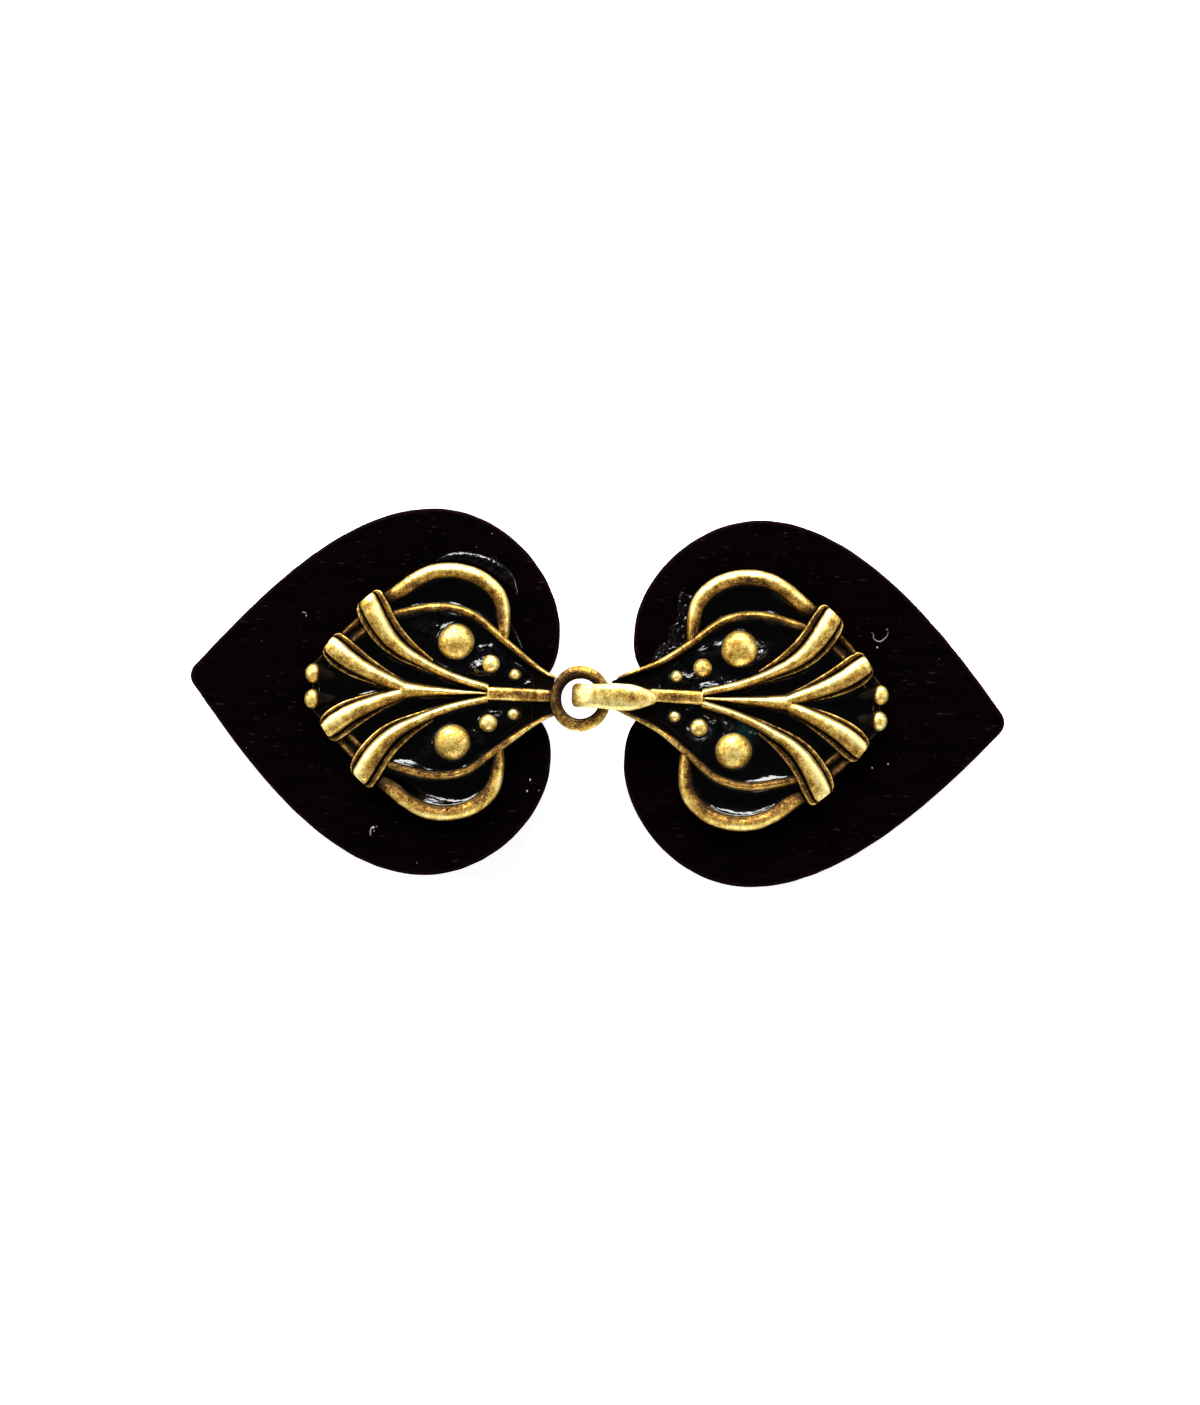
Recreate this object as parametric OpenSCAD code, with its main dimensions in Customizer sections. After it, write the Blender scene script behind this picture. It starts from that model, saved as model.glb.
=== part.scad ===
/* [Hearts] */
// Length of the left heart from its tip to its lobes
heart_left_l = 39.8; // [38:0.1:41]
// Length of the right heart from its tip to its lobes
heart_right_l = 41; // [39:0.1:42]
// Width of a heart across its lobes
heart_w = 40; // [38:0.5:42]
// Angle between the middle line of a heart and its side at the tip
tip_angle = 50; // [46:1:54]
// Radius of the rounded tip
tip_r = 1.8; // [1:0.1:2.5]
// Thickness of the leather
leather_t = 2; // [1.5:0.1:2.5]
// Turn of the left heart away from the line of the clasp
left_turn = 1.8; // [0:0.1:3]
// Turn of the right heart away from the line of the clasp
right_turn = 2.2; // [0:0.1:3]

/* [Layout] */
// Distance from the middle of the ring to the tip of the left heart
left_reach = 42.5; // [41:0.1:44]
// Distance from the middle of the ring to the tip of the right heart
right_reach = 46.2; // [45:0.1:48]
// Height of the leather above the surface that the clips lie on
leather_z = 4; // [3.6:0.1:5]
// Thickness of the bed of glue under a casting
glue_t = 0.4; // [0.3:0.05:0.6]

/* [Ring] */
// Radius of the ring to the middle of its wire, along the clasp
ring_rx = 2.7; // [2.6:0.05:2.8]
// Radius of the ring to the middle of its wire, across the clasp
ring_ry = 2.88; // [2.8:0.02:3]
// Thickness of the wire where it lies across the clasp
wire_across = 1.24; // [1.1:0.02:1.28]
// Thickness of the wire where it lies along the clasp
wire_along = 1.44; // [1.3:0.02:1.46]

/* [Hook] */
// Thickness of the hook's flat bar
bar_t = 1.25; // [1.1:0.05:1.3]
// Clear distance from the middle of the wire to each arm of the hook
arm_gap = 1.25; // [1.2:0.05:1.4]
// Width of the bar at its bend
bend_w = 2.6; // [2.3:0.05:2.7]
// Width of the lower arm where it joins the neck
neck_w = 2.8; // [2.6:0.1:3]
// Width of the upper arm where it is widest
arm_w = 2.9; // [2.6:0.05:3]
// Distance from the middle of the ring to the outside of the bend
bend_reach = 1; // [0.9:0.05:1.1]
// Distance from the middle of the ring to the tip of the upper arm
hook_tip = 8.25; // [8:0.05:8.5]
// How far the tip of the upper arm dips
tip_dip = 0.7; // [0:0.1:0.9]

/* [Castings] */
// Shift of the hook's fan along the clasp, against the ring's fan
fan_shift = 3.1; // [3:0.05:3.3]
// Shift of the hook across the clasp
hook_offset = 0.36; // [0.2:0.02:0.4]
// Shift of the hook's fan across the clasp
fan_offset = 0.7; // [0.5:0.05:0.8]
// Turn of the hook's fan away from the line of the clasp
fan_turn = 1.2; // [0:0.1:2]
// Size of the hook's fan against the ring's fan
fan_scale = 1.02; // [1:0.01:1.03]
// Shift of the ring's fan across the clasp
eye_fan_offset = 0.16; // [0:0.02:0.3]
// Thickness of the base plate under the domes
plate_t = 0.9; // [0.7:0.1:1.1]
// Radius of the largest dome
dome_r = 1.93; // [1.8:0.01:2]

/* [Clips] */
// Width of a garment clip
clip_w = 10; // [8:0.5:12]
// Thickness of the clip's sheet
sheet_t = 0.8; // [0.6:0.05:0.9]
// Length of a garment clip
clip_l = 24; // [22:0.5:26]
// Length of the pad that lies on the surface
pad_l = 11; // [9:0.5:12]
// Gap between the jaws at the mouth
mouth_gap = 0.5; // [0.3:0.1:0.8]
// Distance from the middle of the ring to the bend of the left clip
left_clip_at = 12; // [11:0.5:13]
// Distance from the middle of the ring to the bend of the right clip
right_clip_at = 14; // [13:0.5:15]

/* [Hidden] */

leather_color = "#1d1012";
glue_color = "#0b0b0c";
brass_color = "#b08a3e";
steel_color = "#8d8d88";

// The origin lies under the middle of the whole clasp
ring_x = (left_reach - right_reach) / 2;
ring_y = -0.15;
// Where the middle line of each heart meets its tip, across the clasp
left_tip_y = 0.88;
right_tip_y = -0.8;
glue_z = leather_z + leather_t;
cast_z = glue_z + glue_t;
// Height of the ring over the back of the castings
ring_z = bar_t + arm_gap;
hook_r = arm_gap + bar_t / 2;
hook_bend_x = hook_r + bar_t / 2 - bend_reach;

// Widest place and lobe end of a heart, measured back from its lobes
lobe_l = 13.8;
lobe_off = 6.9;
cleft_l = 4.5;
// Lengths of the handles that shape its curves: flank, widest place on both sides, lobe on both sides
flank_pull = 8;
wide_pull_to_tip = 11;
wide_pull_to_lobe = 7.6;
lobe_pull_out = 6.1;
lobe_pull_in = 2.9;
cleft_pull = [0.5, 4.7];
curve_steps = 9;
cleft_steps = 6;

function bezier(p, t) = pow(1 - t, 3) * p[0] + 3 * t * pow(1 - t, 2) * p[1]
    + 3 * t * t * (1 - t) * p[2] + pow(t, 3) * p[3];
function curve(p, steps) = [for (i = [1:steps]) bezier(p, i / steps)];
// Whole outline from the half that starts and ends on the middle line
function both_sides(half) = concat(half, [for (i = [len(half) - 2:-1:1]) [half[i][0], -half[i][1]]]);

// Half of a heart's outline: round tip, side, lobe and cleft
function heart_half(l) = let (
    half = heart_w / 2,
    side = [cos(tip_angle), sin(tip_angle)],
    flank = [tip_r - tip_r * sin(tip_angle), tip_r * cos(tip_angle)],
    wide = [l - lobe_l, half],
    lobe = [l, lobe_off])
    concat(
        [for (a = [0:10:30]) [tip_r - tip_r * cos(a), tip_r * sin(a)]],
        [flank],
        curve([flank, flank + flank_pull * side, wide - [wide_pull_to_tip, 0], wide], curve_steps),
        curve([wide, wide + [wide_pull_to_lobe, 0], lobe + [0, lobe_pull_out], lobe], curve_steps),
        curve([lobe, lobe - [0, lobe_pull_in], lobe - cleft_pull, [l - cleft_l, 0]], cleft_steps));

module heart(l) {
    linear_extrude(leather_t) polygon(both_sides(heart_half(l)));
}

// Half of the glue bed's outline, with the columns along and off
glue_outline = [[4.6, 0], [4.6, 2.75], [6.9, 4.5], [7.9, 5.6], [8.1, 7.3], [8.2, 8.8], [8.5, 10.1],
    [9.2, 11.3], [10.3, 12.3], [11.7, 13.1], [13.2, 13.5], [14.8, 13.65], [16.5, 13.4], [18.2, 12.7],
    [19.8, 11.6], [21.3, 10.5], [22.6, 9.8], [23.4, 9.1], [24.0, 8.0], [25.2, 6.6], [26.3, 5.4],
    [27.3, 4.3], [27.8, 3.2], [28.7, 2.2], [29.3, 1.3], [29.3, 0]];

module glue_bed(size) {
    linear_extrude(glue_t) scale(size) polygon(both_sides(glue_outline));
}

// Section of a ridge, as shares of its half width and of its height
ridge_section = [[-1, 0], [-1, 0.5], [-0.76, 0.86], [-0.28, 1], [0.28, 1], [0.76, 0.86], [1, 0.5], [1, 0]];

function unit(v) = v / norm(v);

// Direction of a table's path at row i
function way(table, i) = let (
    a = table[max(i - 1, 0)],
    b = table[min(i + 1, len(table) - 1)])
    unit([b[0] - a[0], b[1] - a[1]]);

// One section of a ridge: a row has the columns along, off, width and top
function ridge_ring(row, d) = [for (s = ridge_section)
    [row[0] + d[1] * s[0] * row[2] / 2, row[1] - d[0] * s[0] * row[2] / 2, row[3] * s[1]]];

// Triangles of a tube of n sections with m corners each
function tube_faces(n, m) = concat(
    [[for (j = [0:m - 1]) j]],
    [[for (j = [m - 1:-1:0]) (n - 1) * m + j]],
    [for (i = [0:n - 2]) for (j = [0:m - 1]) [i * m + j, (i + 1) * m + j, i * m + (j + 1) % m]],
    [for (i = [0:n - 2]) for (j = [0:m - 1])
        [(i + 1) * m + j, (i + 1) * m + (j + 1) % m, i * m + (j + 1) % m]]);

module ridge(table) {
    polyhedron(
        points = [for (i = [0:len(table) - 1]) each ridge_ring(table[i], way(table, i))],
        faces = tube_faces(len(table), len(ridge_section)));
}

// Rib tables with the columns along, off, ridge width, ledge width and top
outer_rib = [[23.65, 9.75, 1.5, 1.7, 2.3], [23.25, 9.0, 2.05, 3.1, 2.7], [22.1, 7.05, 1.95, 3.4, 2.8],
    [21.0, 5.6, 1.7, 3.2, 2.75], [19.4, 4.25, 1.32, 2.6, 2.65], [17.75, 3.35, 1.05, 1.9, 2.6],
    [16.1, 2.5, 0.95, 1.4, 2.5], [14.0, 1.7, 0.85, 1.1, 2.4], [10.1, 0.6, 0.8, 0.9, 2.35]];
inner_rib = [[27.5, 4.75, 1.3, 1.6, 2.2], [27.05, 4.35, 2.0, 2.9, 2.6], [25.5, 3.2, 1.95, 3.2, 2.7],
    [23.9, 2.25, 1.7, 2.75, 2.7], [22.3, 1.5, 1.5, 2.2, 2.65], [20.9, 0.95, 1.4, 1.75, 2.55],
    [19.2, 0.3, 1.1, 1.3, 2.35]];
stem_point = [[19.6, 0, 1.9, 2.0, 2.35], [17.0, 0, 1.15, 1.3, 2.3], [14.9, 0, 0.8, 0.95, 2.2],
    [12.8, 0, 0.5, 0.65, 2.1], [10.3, 0, 0.25, 0.35, 2.0]];
stem = [[10.2, 0, 1.5, 1.55, 2.5], [7.0, 0, 1.45, 1.5, 2.45], [4.6, 0, 1.4, 1.45, 2.4]];
ledge_share = 0.6;

// Strip tables with the columns along, off, width and top
loop_strip = [[22.4, 9.5, 0.9, 0.9], [21.3, 10.0, 1.3, 1.4], [20.1, 10.75, 1.55, 1.85],
    [18.3, 12.1, 1.6, 2.0], [16.3, 13.0, 1.65, 2.0], [14.6, 13.2, 1.65, 2.0], [12.9, 13.0, 1.65, 2.0],
    [11.5, 12.5, 1.65, 2.0], [10.3, 11.7, 1.65, 2.0], [9.4, 10.75, 1.6, 2.0], [8.9, 9.7, 1.55, 1.95],
    [8.7, 8.5, 1.45, 1.9], [8.6, 7.4, 1.3, 1.85], [8.6, 6.0, 1.1, 1.75]];
arc_strip = [[21.9, 7.7, 0.8, 1.6], [20.3, 8.2, 0.85, 1.8], [18.6, 8.65, 0.95, 1.95], [16.3, 9.1, 1.0, 2.0],
    [14.6, 9.1, 0.95, 2.0], [13.1, 8.85, 0.9, 2.0], [11.9, 8.4, 0.9, 1.95], [10.8, 7.65, 0.85, 1.9],
    [9.7, 6.75, 0.8, 1.9], [8.4, 5.7, 0.8, 1.9], [7.05, 4.7, 0.75, 1.85]];
// How that strip goes on to the neck of the ring and to the neck of the hook
ring_neck_strip = [[4.95, 3.15, 0.6, 2.0], [3.5, 2.25, 0.5, 2.3], [2.8, 1.95, 0.45, 2.4]];
hook_neck_strip = [[4.9, 3.35, 0.6, 1.75], [3.2, 2.6, 0.5, 1.6], [1.9, 2.05, 0.45, 1.45],
    [0.9, 1.6, 0.35, 1.2]];
web_strip = [[23.4, 8.5, 1.4, 1.2], [24.2, 7.45, 1.5, 1.1], [25.45, 6.1, 1.5, 1.1], [26.6, 5.0, 1.2, 1.2]];

// Half of the base plate under the domes, with the columns along and off
eye_plate = [[5.1, 0], [5.1, 3.1], [7.2, 4.8], [9.05, 6.2], [11.3, 8.05], [13.25, 8.8], [15.4, 9.05],
    [17.5, 8.8], [19.4, 8.4], [21.3, 7.8], [21.4, 6.2], [19.85, 4.65], [17.65, 3.3], [15.2, 2.15],
    [10.35, 0]];
// Half of the low plate that carries the knobs at the mouth of the fan
knob_plate = [[20.3, 0], [22.2, 0.8], [24.35, 1.9], [26.5, 3.6], [28.3, 3.4], [29.1, 2.5], [29.5, 1.1],
    [29.1, 0]];
knob_plate_t = 1;

// Dome table with the columns along, off, share of the largest radius, and height
dome_table = [[13.7, 5.45, 1, 1.45], [9.85, 3.2, 0.51, 1.1], [7.15, 2.1, 0.34, 0.95]];
// Knob table with the columns along, off, radius and height
knob_table = [[29.1, 1.4, 0.95, 2], [26.9, 1.05, 0.55, 1.2]];
dome_sides = 20;
cap_slice = 0.03;
// How far a dome reaches into the plate under it
dome_root = 0.1;

module round_cap(r, h) {
    for (a = [0:20:80])
        translate([0, 0, h * sin(a)]) cylinder(r = r * cos(a), h = cap_slice, $fn = dome_sides);
}

module dome(row) {
    translate([row[0], row[1], plate_t - dome_root]) hull() round_cap(dome_r * row[2], row[3] + dome_root);
}

module knob() {
    hull() for (row = knob_table) translate([row[0], row[1], 0]) round_cap(row[2], row[3]);
}

function columns(table, picks) = [for (row = table) [for (c = picks) row[c]]];

module rib(table) {
    ridge(columns(table, [0, 1, 2, 4]));
    ridge([for (row = table) [row[0], row[1], row[3], row[4] * ledge_share]]);
}

// Everything that both castings share, with the ring's middle at the origin
module fan(neck_strip) {
    for (side = [0, 1]) mirror([0, side, 0]) {
        rib(outer_rib);
        rib(inner_rib);
        ridge(loop_strip);
        ridge(concat(arc_strip, neck_strip));
        ridge(web_strip);
        for (row = dome_table) dome(row);
        knob();
    }
    linear_extrude(plate_t) polygon(both_sides(eye_plate));
    linear_extrude(knob_plate_t) polygon(both_sides(knob_plate));
    rib(stem_point);
    rib(stem);
}

ring_steps = 28;
ring_sides = 10;

function wire_r(a) = (wire_across + (wire_along - wire_across) * pow(sin(a), 2)) / 2;
function ring_section(a) = [for (j = [0:ring_sides - 1]) let (
    b = 360 * j / ring_sides,
    out = wire_r(a) * cos(b))
    [(ring_rx + out) * cos(a), (ring_ry + out) * sin(a), ring_z + wire_r(a) * sin(b)]];

module ring() {
    m = ring_sides;
    n = ring_steps;
    polyhedron(
        points = [for (i = [0:n - 1]) each ring_section(360 * i / n)],
        faces = concat(
            [for (i = [0:n - 1]) for (j = [0:m - 1])
                [i * m + j, i * m + (j + 1) % m, (i + 1) % n * m + j]],
            [for (i = [0:n - 1]) for (j = [0:m - 1])
                [i * m + (j + 1) % m, (i + 1) % n * m + (j + 1) % m, (i + 1) % n * m + j]]));
}

// Wedge that lifts the neck of the casting to the underside of the ring: foot and head, with the
// columns along, length, width, underside and top
neck_wedge = [[5.3, 0.6, 6.4, 0, plate_t - 0.1], [2.95, 0.3, 3.4, 0.9, ring_z - 0.4]];
// Middle ridges of both necks, with the columns along, off, width and top
ring_neck_ridge = [[4.9, 0, 1.35, 2.35], [3.6, 0, 1.25, 2.6], [2.75, 0, 1.2, ring_z + 0.3]];
hook_neck_ridge = [[4.9, 0, 1.35, 2.35], [3.1, 0, 1.25, 2.2], [1.5, 0, 1.1, 1.6], [0.5, 0, 0.8, 1.3]];

module ring_neck() {
    hull() for (row = neck_wedge)
        translate([row[0], -row[2] / 2, row[3]]) cube([row[1], row[2], row[4] - row[3]]);
    ridge(ring_neck_ridge);
}

// Section of the hook's bar, as shares of its half width and half thickness, outer face up
bar_section = [[-1, -0.5], [-0.8, -1], [0.8, -1], [1, -0.5], [1, 0.15], [0.74, 0.78], [0.28, 1], [-0.28, 1],
    [-0.74, 0.78], [-1, 0.15]];

// Bar of the hook from its neck round the bend to its tip, with the columns
// along, height of the middle, turn of the outer face, width and thickness
hook_path = concat(
    [[4.9, bar_t / 2, -180, neck_w + 0.6, bar_t], [3.4, bar_t / 2, -180, neck_w, bar_t]],
    [for (a = [0:22.5:180])
        [hook_bend_x - hook_r * sin(a), ring_z - hook_r * cos(a), a - 180, bend_w, bar_t]],
    [[4.3, ring_z + hook_r, 0, arm_w, bar_t],
     [5.6, ring_z + hook_r - 0.2 * tip_dip, 3, arm_w - 0.1, bar_t],
     [6.8, ring_z + hook_r - 0.5 * tip_dip, 7, arm_w - 0.75, bar_t - 0.1],
     [7.7, ring_z + hook_r - 0.8 * tip_dip, 11, arm_w - 1.45, bar_t - 0.2],
     [hook_tip, ring_z + hook_r - tip_dip, 14, arm_w - 2.2, bar_t - 0.5]]);

function bar_ring(row) = [for (s = bar_section)
    [row[0] + sin(row[2]) * s[1] * row[4] / 2, s[0] * row[3] / 2, row[1] + cos(row[2]) * s[1] * row[4] / 2]];

module hook_bar() {
    polyhedron(
        points = [for (row = hook_path) each bar_ring(row)],
        faces = tube_faces(len(hook_path), len(bar_section)));
}

// Half of the plate of the hook's neck, with the columns along and off, measured in the fan
hook_neck_plate = [[0.3, 0], [0.3, 1.3], [2.1, 2.05], [3.7, 2.8], [5.7, 3.75], [5.7, 0]];
hook_neck_t = 0.8;

module hook_neck() {
    linear_extrude(hook_neck_t) polygon(both_sides(hook_neck_plate));
    ridge(hook_neck_ridge);
}

module leather_heart_left() {
    color(leather_color)
    translate([ring_x - left_reach, ring_y + left_tip_y, leather_z]) rotate(-left_turn) heart(heart_left_l);
}

module leather_heart_right() {
    color(leather_color)
    translate([ring_x + right_reach, ring_y + right_tip_y, leather_z]) rotate(180 - right_turn)
        heart(heart_right_l);
}

module glue_bed_left() {
    color(glue_color) translate([ring_x, ring_y + eye_fan_offset, glue_z]) mirror([1, 0, 0]) glue_bed(1);
}

module glue_bed_right() {
    color(glue_color) translate([ring_x + fan_shift, ring_y + fan_offset, glue_z]) rotate(-fan_turn)
        glue_bed(fan_scale);
}

module eye_casting() {
    color(brass_color) translate([ring_x, ring_y, cast_z]) mirror([1, 0, 0]) {
        translate([0, eye_fan_offset, 0]) {
            fan(ring_neck_strip);
            ring_neck();
        }
        ring();
    }
}

module hook_casting() {
    color(brass_color) translate([ring_x, ring_y, cast_z]) {
        translate([fan_shift, fan_offset, 0]) rotate(-fan_turn) scale(fan_scale) {
            fan(hook_neck_strip);
            hook_neck();
        }
        translate([0, hook_offset, 0]) hook_bar();
    }
}

// Middle line of the clip's sheet, with the columns along and height
function clip_line() = let (
    high = leather_z - sheet_t / 2,
    low = sheet_t / 2,
    bend_r = (high - low) / 2,
    jaw = high - sheet_t - mouth_gap)
    concat(
        [[clip_l, high]],
        [for (a = [0:22.5:180]) [bend_r - bend_r * sin(a), low + bend_r + bend_r * cos(a)]],
        [[bend_r + pad_l, low], [clip_l - 3, jaw], [clip_l, jaw - 1]]);

// One side of a sheet of thickness t laid along a middle line, with mitred corners
function sheet_side(line, t) = [for (i = [0:len(line) - 1]) let (
    last = len(line) - 1,
    before = unit(line[max(i, 1)] - line[max(i, 1) - 1]),
    after = unit(line[min(i, last - 1) + 1] - line[min(i, last - 1)]),
    d = unit(before + after))
    line[i] + [-d[1], d[0]] * t / 2 / (d * before)];

module garment_clip() {
    line = clip_line();
    back = [for (i = [len(line) - 1:-1:0]) line[i]];
    rotate([90, 0, 0]) translate([0, 0, -clip_w / 2]) linear_extrude(clip_w)
        polygon(concat(sheet_side(line, sheet_t), sheet_side(back, sheet_t)));
}

module garment_clip_left() {
    color(steel_color) translate([ring_x - left_clip_at, ring_y, 0]) mirror([1, 0, 0]) garment_clip();
}

module garment_clip_right() {
    color(steel_color) translate([ring_x + right_clip_at, ring_y, 0]) garment_clip();
}

leather_heart_left();
glue_bed_left();
eye_casting();
garment_clip_left();
leather_heart_right();
glue_bed_right();
hook_casting();
garment_clip_right();
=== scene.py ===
import math

import bmesh
import bpy
import numpy as np
from mathutils import Matrix, Vector
from mathutils.bvhtree import BVHTree


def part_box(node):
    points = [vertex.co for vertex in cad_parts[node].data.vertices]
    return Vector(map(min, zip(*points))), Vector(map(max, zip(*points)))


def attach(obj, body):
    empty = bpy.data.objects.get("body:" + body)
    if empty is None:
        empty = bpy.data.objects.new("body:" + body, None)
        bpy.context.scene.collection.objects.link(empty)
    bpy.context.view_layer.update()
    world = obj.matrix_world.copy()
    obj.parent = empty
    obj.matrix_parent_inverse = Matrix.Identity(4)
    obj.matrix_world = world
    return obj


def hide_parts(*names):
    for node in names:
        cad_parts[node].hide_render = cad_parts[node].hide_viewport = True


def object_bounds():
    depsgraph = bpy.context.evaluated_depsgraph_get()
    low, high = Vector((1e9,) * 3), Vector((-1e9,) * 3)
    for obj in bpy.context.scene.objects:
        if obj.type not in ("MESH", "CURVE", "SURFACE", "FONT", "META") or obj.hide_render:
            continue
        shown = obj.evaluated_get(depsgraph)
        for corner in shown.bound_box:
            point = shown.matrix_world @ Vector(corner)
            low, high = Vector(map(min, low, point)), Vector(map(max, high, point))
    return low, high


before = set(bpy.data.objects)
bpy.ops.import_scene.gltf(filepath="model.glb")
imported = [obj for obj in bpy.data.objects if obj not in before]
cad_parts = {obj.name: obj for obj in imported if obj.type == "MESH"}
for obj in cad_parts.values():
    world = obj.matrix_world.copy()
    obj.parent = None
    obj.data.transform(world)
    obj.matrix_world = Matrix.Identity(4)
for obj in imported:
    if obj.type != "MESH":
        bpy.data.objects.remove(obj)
cad_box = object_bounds()

# Lengths are in millimetres until a piece is finished, when it is scaled to metres
MM = 0.001

# Halves of the clasp: side of a piece's name, body
HALVES = (("left", "eye_half"), ("right", "hook_half"))

# Photograph: size and place of the ring's middle in pixels, scale, and turn against the frame
PHOTO_W = 1200
PHOTO_H = 1405
RING_PIXEL = (580.5, 698.7)
MM_PER_PIXEL = 0.1087
PHOTO_ROLL = math.radians(2.4)
CAMERA_HEIGHT = 900.0
SENSOR = 36.0

# Ring: radii to the middle of its wire, along and across the clasp, and the wire's thickness where it runs
# across and along the clasp
RING_RX = 2.7
RING_RY = 2.88
WIRE_ACROSS = 1.24
WIRE_ALONG = 1.44

# Hook: bar thickness, its distance from the middle of the ring's wire, widths, reach of bend and tip, and
# dip of the tip
BAR_T = 1.25
ARM_GAP = 1.25
BEND_W = 2.6
ARM_W = 2.9
BEND_REACH = 1.0
HOOK_TIP = 8.25
TIP_DIP = 0.7
HOOK_R = ARM_GAP + BAR_T / 2
HOOK_BEND_X = HOOK_R + BAR_T / 2 - BEND_REACH
RING_Z = BAR_T + ARM_GAP

# Polish of the hook, and the dark streak painted along its upper arm as a reflection of the dim overhead:
# place, length, share of the width, depth
HOOK_POLISH = 0.93
STREAK_X = 5.6
STREAK_L = 1.5
STREAK_W = 0.3
STREAK_DEPTH = 0.5

# Places of the hook's bar and of the two fans against the ring's middle; turn and size of the hook's fan
HOOK_OFFSET = 0.36
EYE_FAN_OFFSET = 0.16
FAN_SHIFT = 3.0
FAN_OFFSET = 0.78
FAN_TURN = math.radians(-0.9)
FAN_SCALE = 1.015

# Hearts: length, turn, distance from the ring's middle to the tip, and place of the tip across the clasp
LEFT_HEART = {"length": 39.8, "turn": 1.8, "reach": 42.5, "tip_y": 0.88}
RIGHT_HEART = {"length": 41.0, "turn": 2.2, "reach": 46.2, "tip_y": -0.8}
HEART_W = 40.0
TIP_ANGLE = math.radians(50)
TIP_R = 1.8
LEATHER_T = 2.0
LOBE_L = 13.8
LOBE_OFF = 6.9
CLEFT_L = 4.5
# Radius of the leather's upper edge, and the curve handles of a heart's flank, shoulder and cleft
EDGE_R = 0.34
FLANK_HANDLES = (8, 11)
SHOULDER_HANDLES = (7.6, 6.1)
CLEFT_HANDLES = ((0, 2.9), (0.5, 4.7))
# Sides of the leather and of the glue, from below: inset, height
LEATHER_SIDE = [[0.5, 0.0], [0.22, 0.02], [0.06, 0.12], [0.0, 0.34], [0.02, 1.0]]
GLUE_SIDE = [[0.25, 0.0], [0.0, 0.05], [0.02, 0.18], [0.1, 0.3], [0.24, 0.37]]

# Thickness of a casting's plates under the domes and under the knobs
PLATE_T = 0.9
KNOB_PLATE_T = 1.0


def place_of(node):
    """Lowest and highest corner of a CAD node, in millimetres."""
    low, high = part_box(node)
    return np.array(low) / MM, np.array(high) / MM


# The ring's middle, and the heights of leather, glue and castings, come from the frame
EYE_LOW, EYE_HIGH = place_of("eye_casting")
RING_X = EYE_HIGH[0] - RING_RX - WIRE_ACROSS / 2
RING_Y = (EYE_LOW[1] + EYE_HIGH[1]) / 2 - EYE_FAN_OFFSET
CAST_Z = EYE_LOW[2]
LEATHER_Z = place_of("leather_heart_left")[0][2]
GLUE_Z = place_of("glue_bed_left")[0][2]
GLUE_T = CAST_Z - GLUE_Z
HOOK_FAN_XY = (RING_X + FAN_SHIFT, RING_Y + FAN_OFFSET)

# Ribs from the blunt end to the tail: along, off, crown width, ledge on the slit side, ledge on the
# dome side, top, share of the top that the ledges reach, polish of the crown
OUTER_RIB = [
    [23.7, 9.86, 1.72, 0.22, 0.4, 2.46, 0.67, 0.9], [23.56, 9.62, 1.95, 0.4, 0.66, 2.66, 0.66, 0.93],
    [23.2, 8.95, 2.06, 0.58, 0.8, 2.78, 0.66, 0.95], [22.1, 7.05, 1.95, 0.66, 0.85, 2.84, 0.64, 0.95],
    [21.0, 5.6, 1.7, 0.6, 0.9, 2.78, 0.61, 0.93], [19.4, 4.25, 1.32, 0.45, 0.85, 2.68, 0.57, 0.9],
    [17.7, 3.3, 1.06, 0.3, 0.55, 2.6, 0.52, 0.88], [16.2, 2.55, 0.96, 0.18, 0.3, 2.54, 0.48, 0.88],
    [14.0, 1.68, 0.86, 0.1, 0.15, 2.46, 0.42, 0.88], [10.1, 0.6, 0.8, 0.05, 0.05, 2.42, 0.4, 0.85],
]
INNER_RIB = [
    [27.6, 4.82, 1.6, 0.16, 0.3, 2.36, 0.67, 0.88], [27.4, 4.65, 1.86, 0.32, 0.55, 2.56, 0.66, 0.92],
    [26.85, 4.2, 2.02, 0.5, 0.7, 2.68, 0.66, 0.94], [25.5, 3.17, 1.96, 0.58, 0.75, 2.74, 0.63, 0.93],
    [23.9, 2.25, 1.72, 0.48, 0.62, 2.72, 0.6, 0.92], [22.3, 1.5, 1.52, 0.3, 0.42, 2.66, 0.56, 0.9],
    [20.9, 0.93, 1.4, 0.15, 0.22, 2.56, 0.52, 0.88], [19.2, 0.3, 1.1, 0.1, 0.12, 2.38, 0.47, 0.85],
]
STEM_POINT = [
    [19.6, 0, 1.9, 0.05, 0.05, 2.4, 0.5, 0.88], [17.0, 0, 1.15, 0.08, 0.08, 2.36, 0.5, 0.88],
    [14.9, 0, 0.8, 0.08, 0.08, 2.3, 0.5, 0.88], [12.8, 0, 0.48, 0.05, 0.05, 2.2, 0.5, 0.85],
    [10.2, 0, 0.24, 0.02, 0.02, 2.1, 0.5, 0.75],
]
# The ribs' blunt ends are cut aslant: shift along the rib for each millimetre across, and its reach
OUTER_RIB_SLANT = 0.2
INNER_RIB_SLANT = 0.1
SLANT_REACH = 1.6

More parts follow.
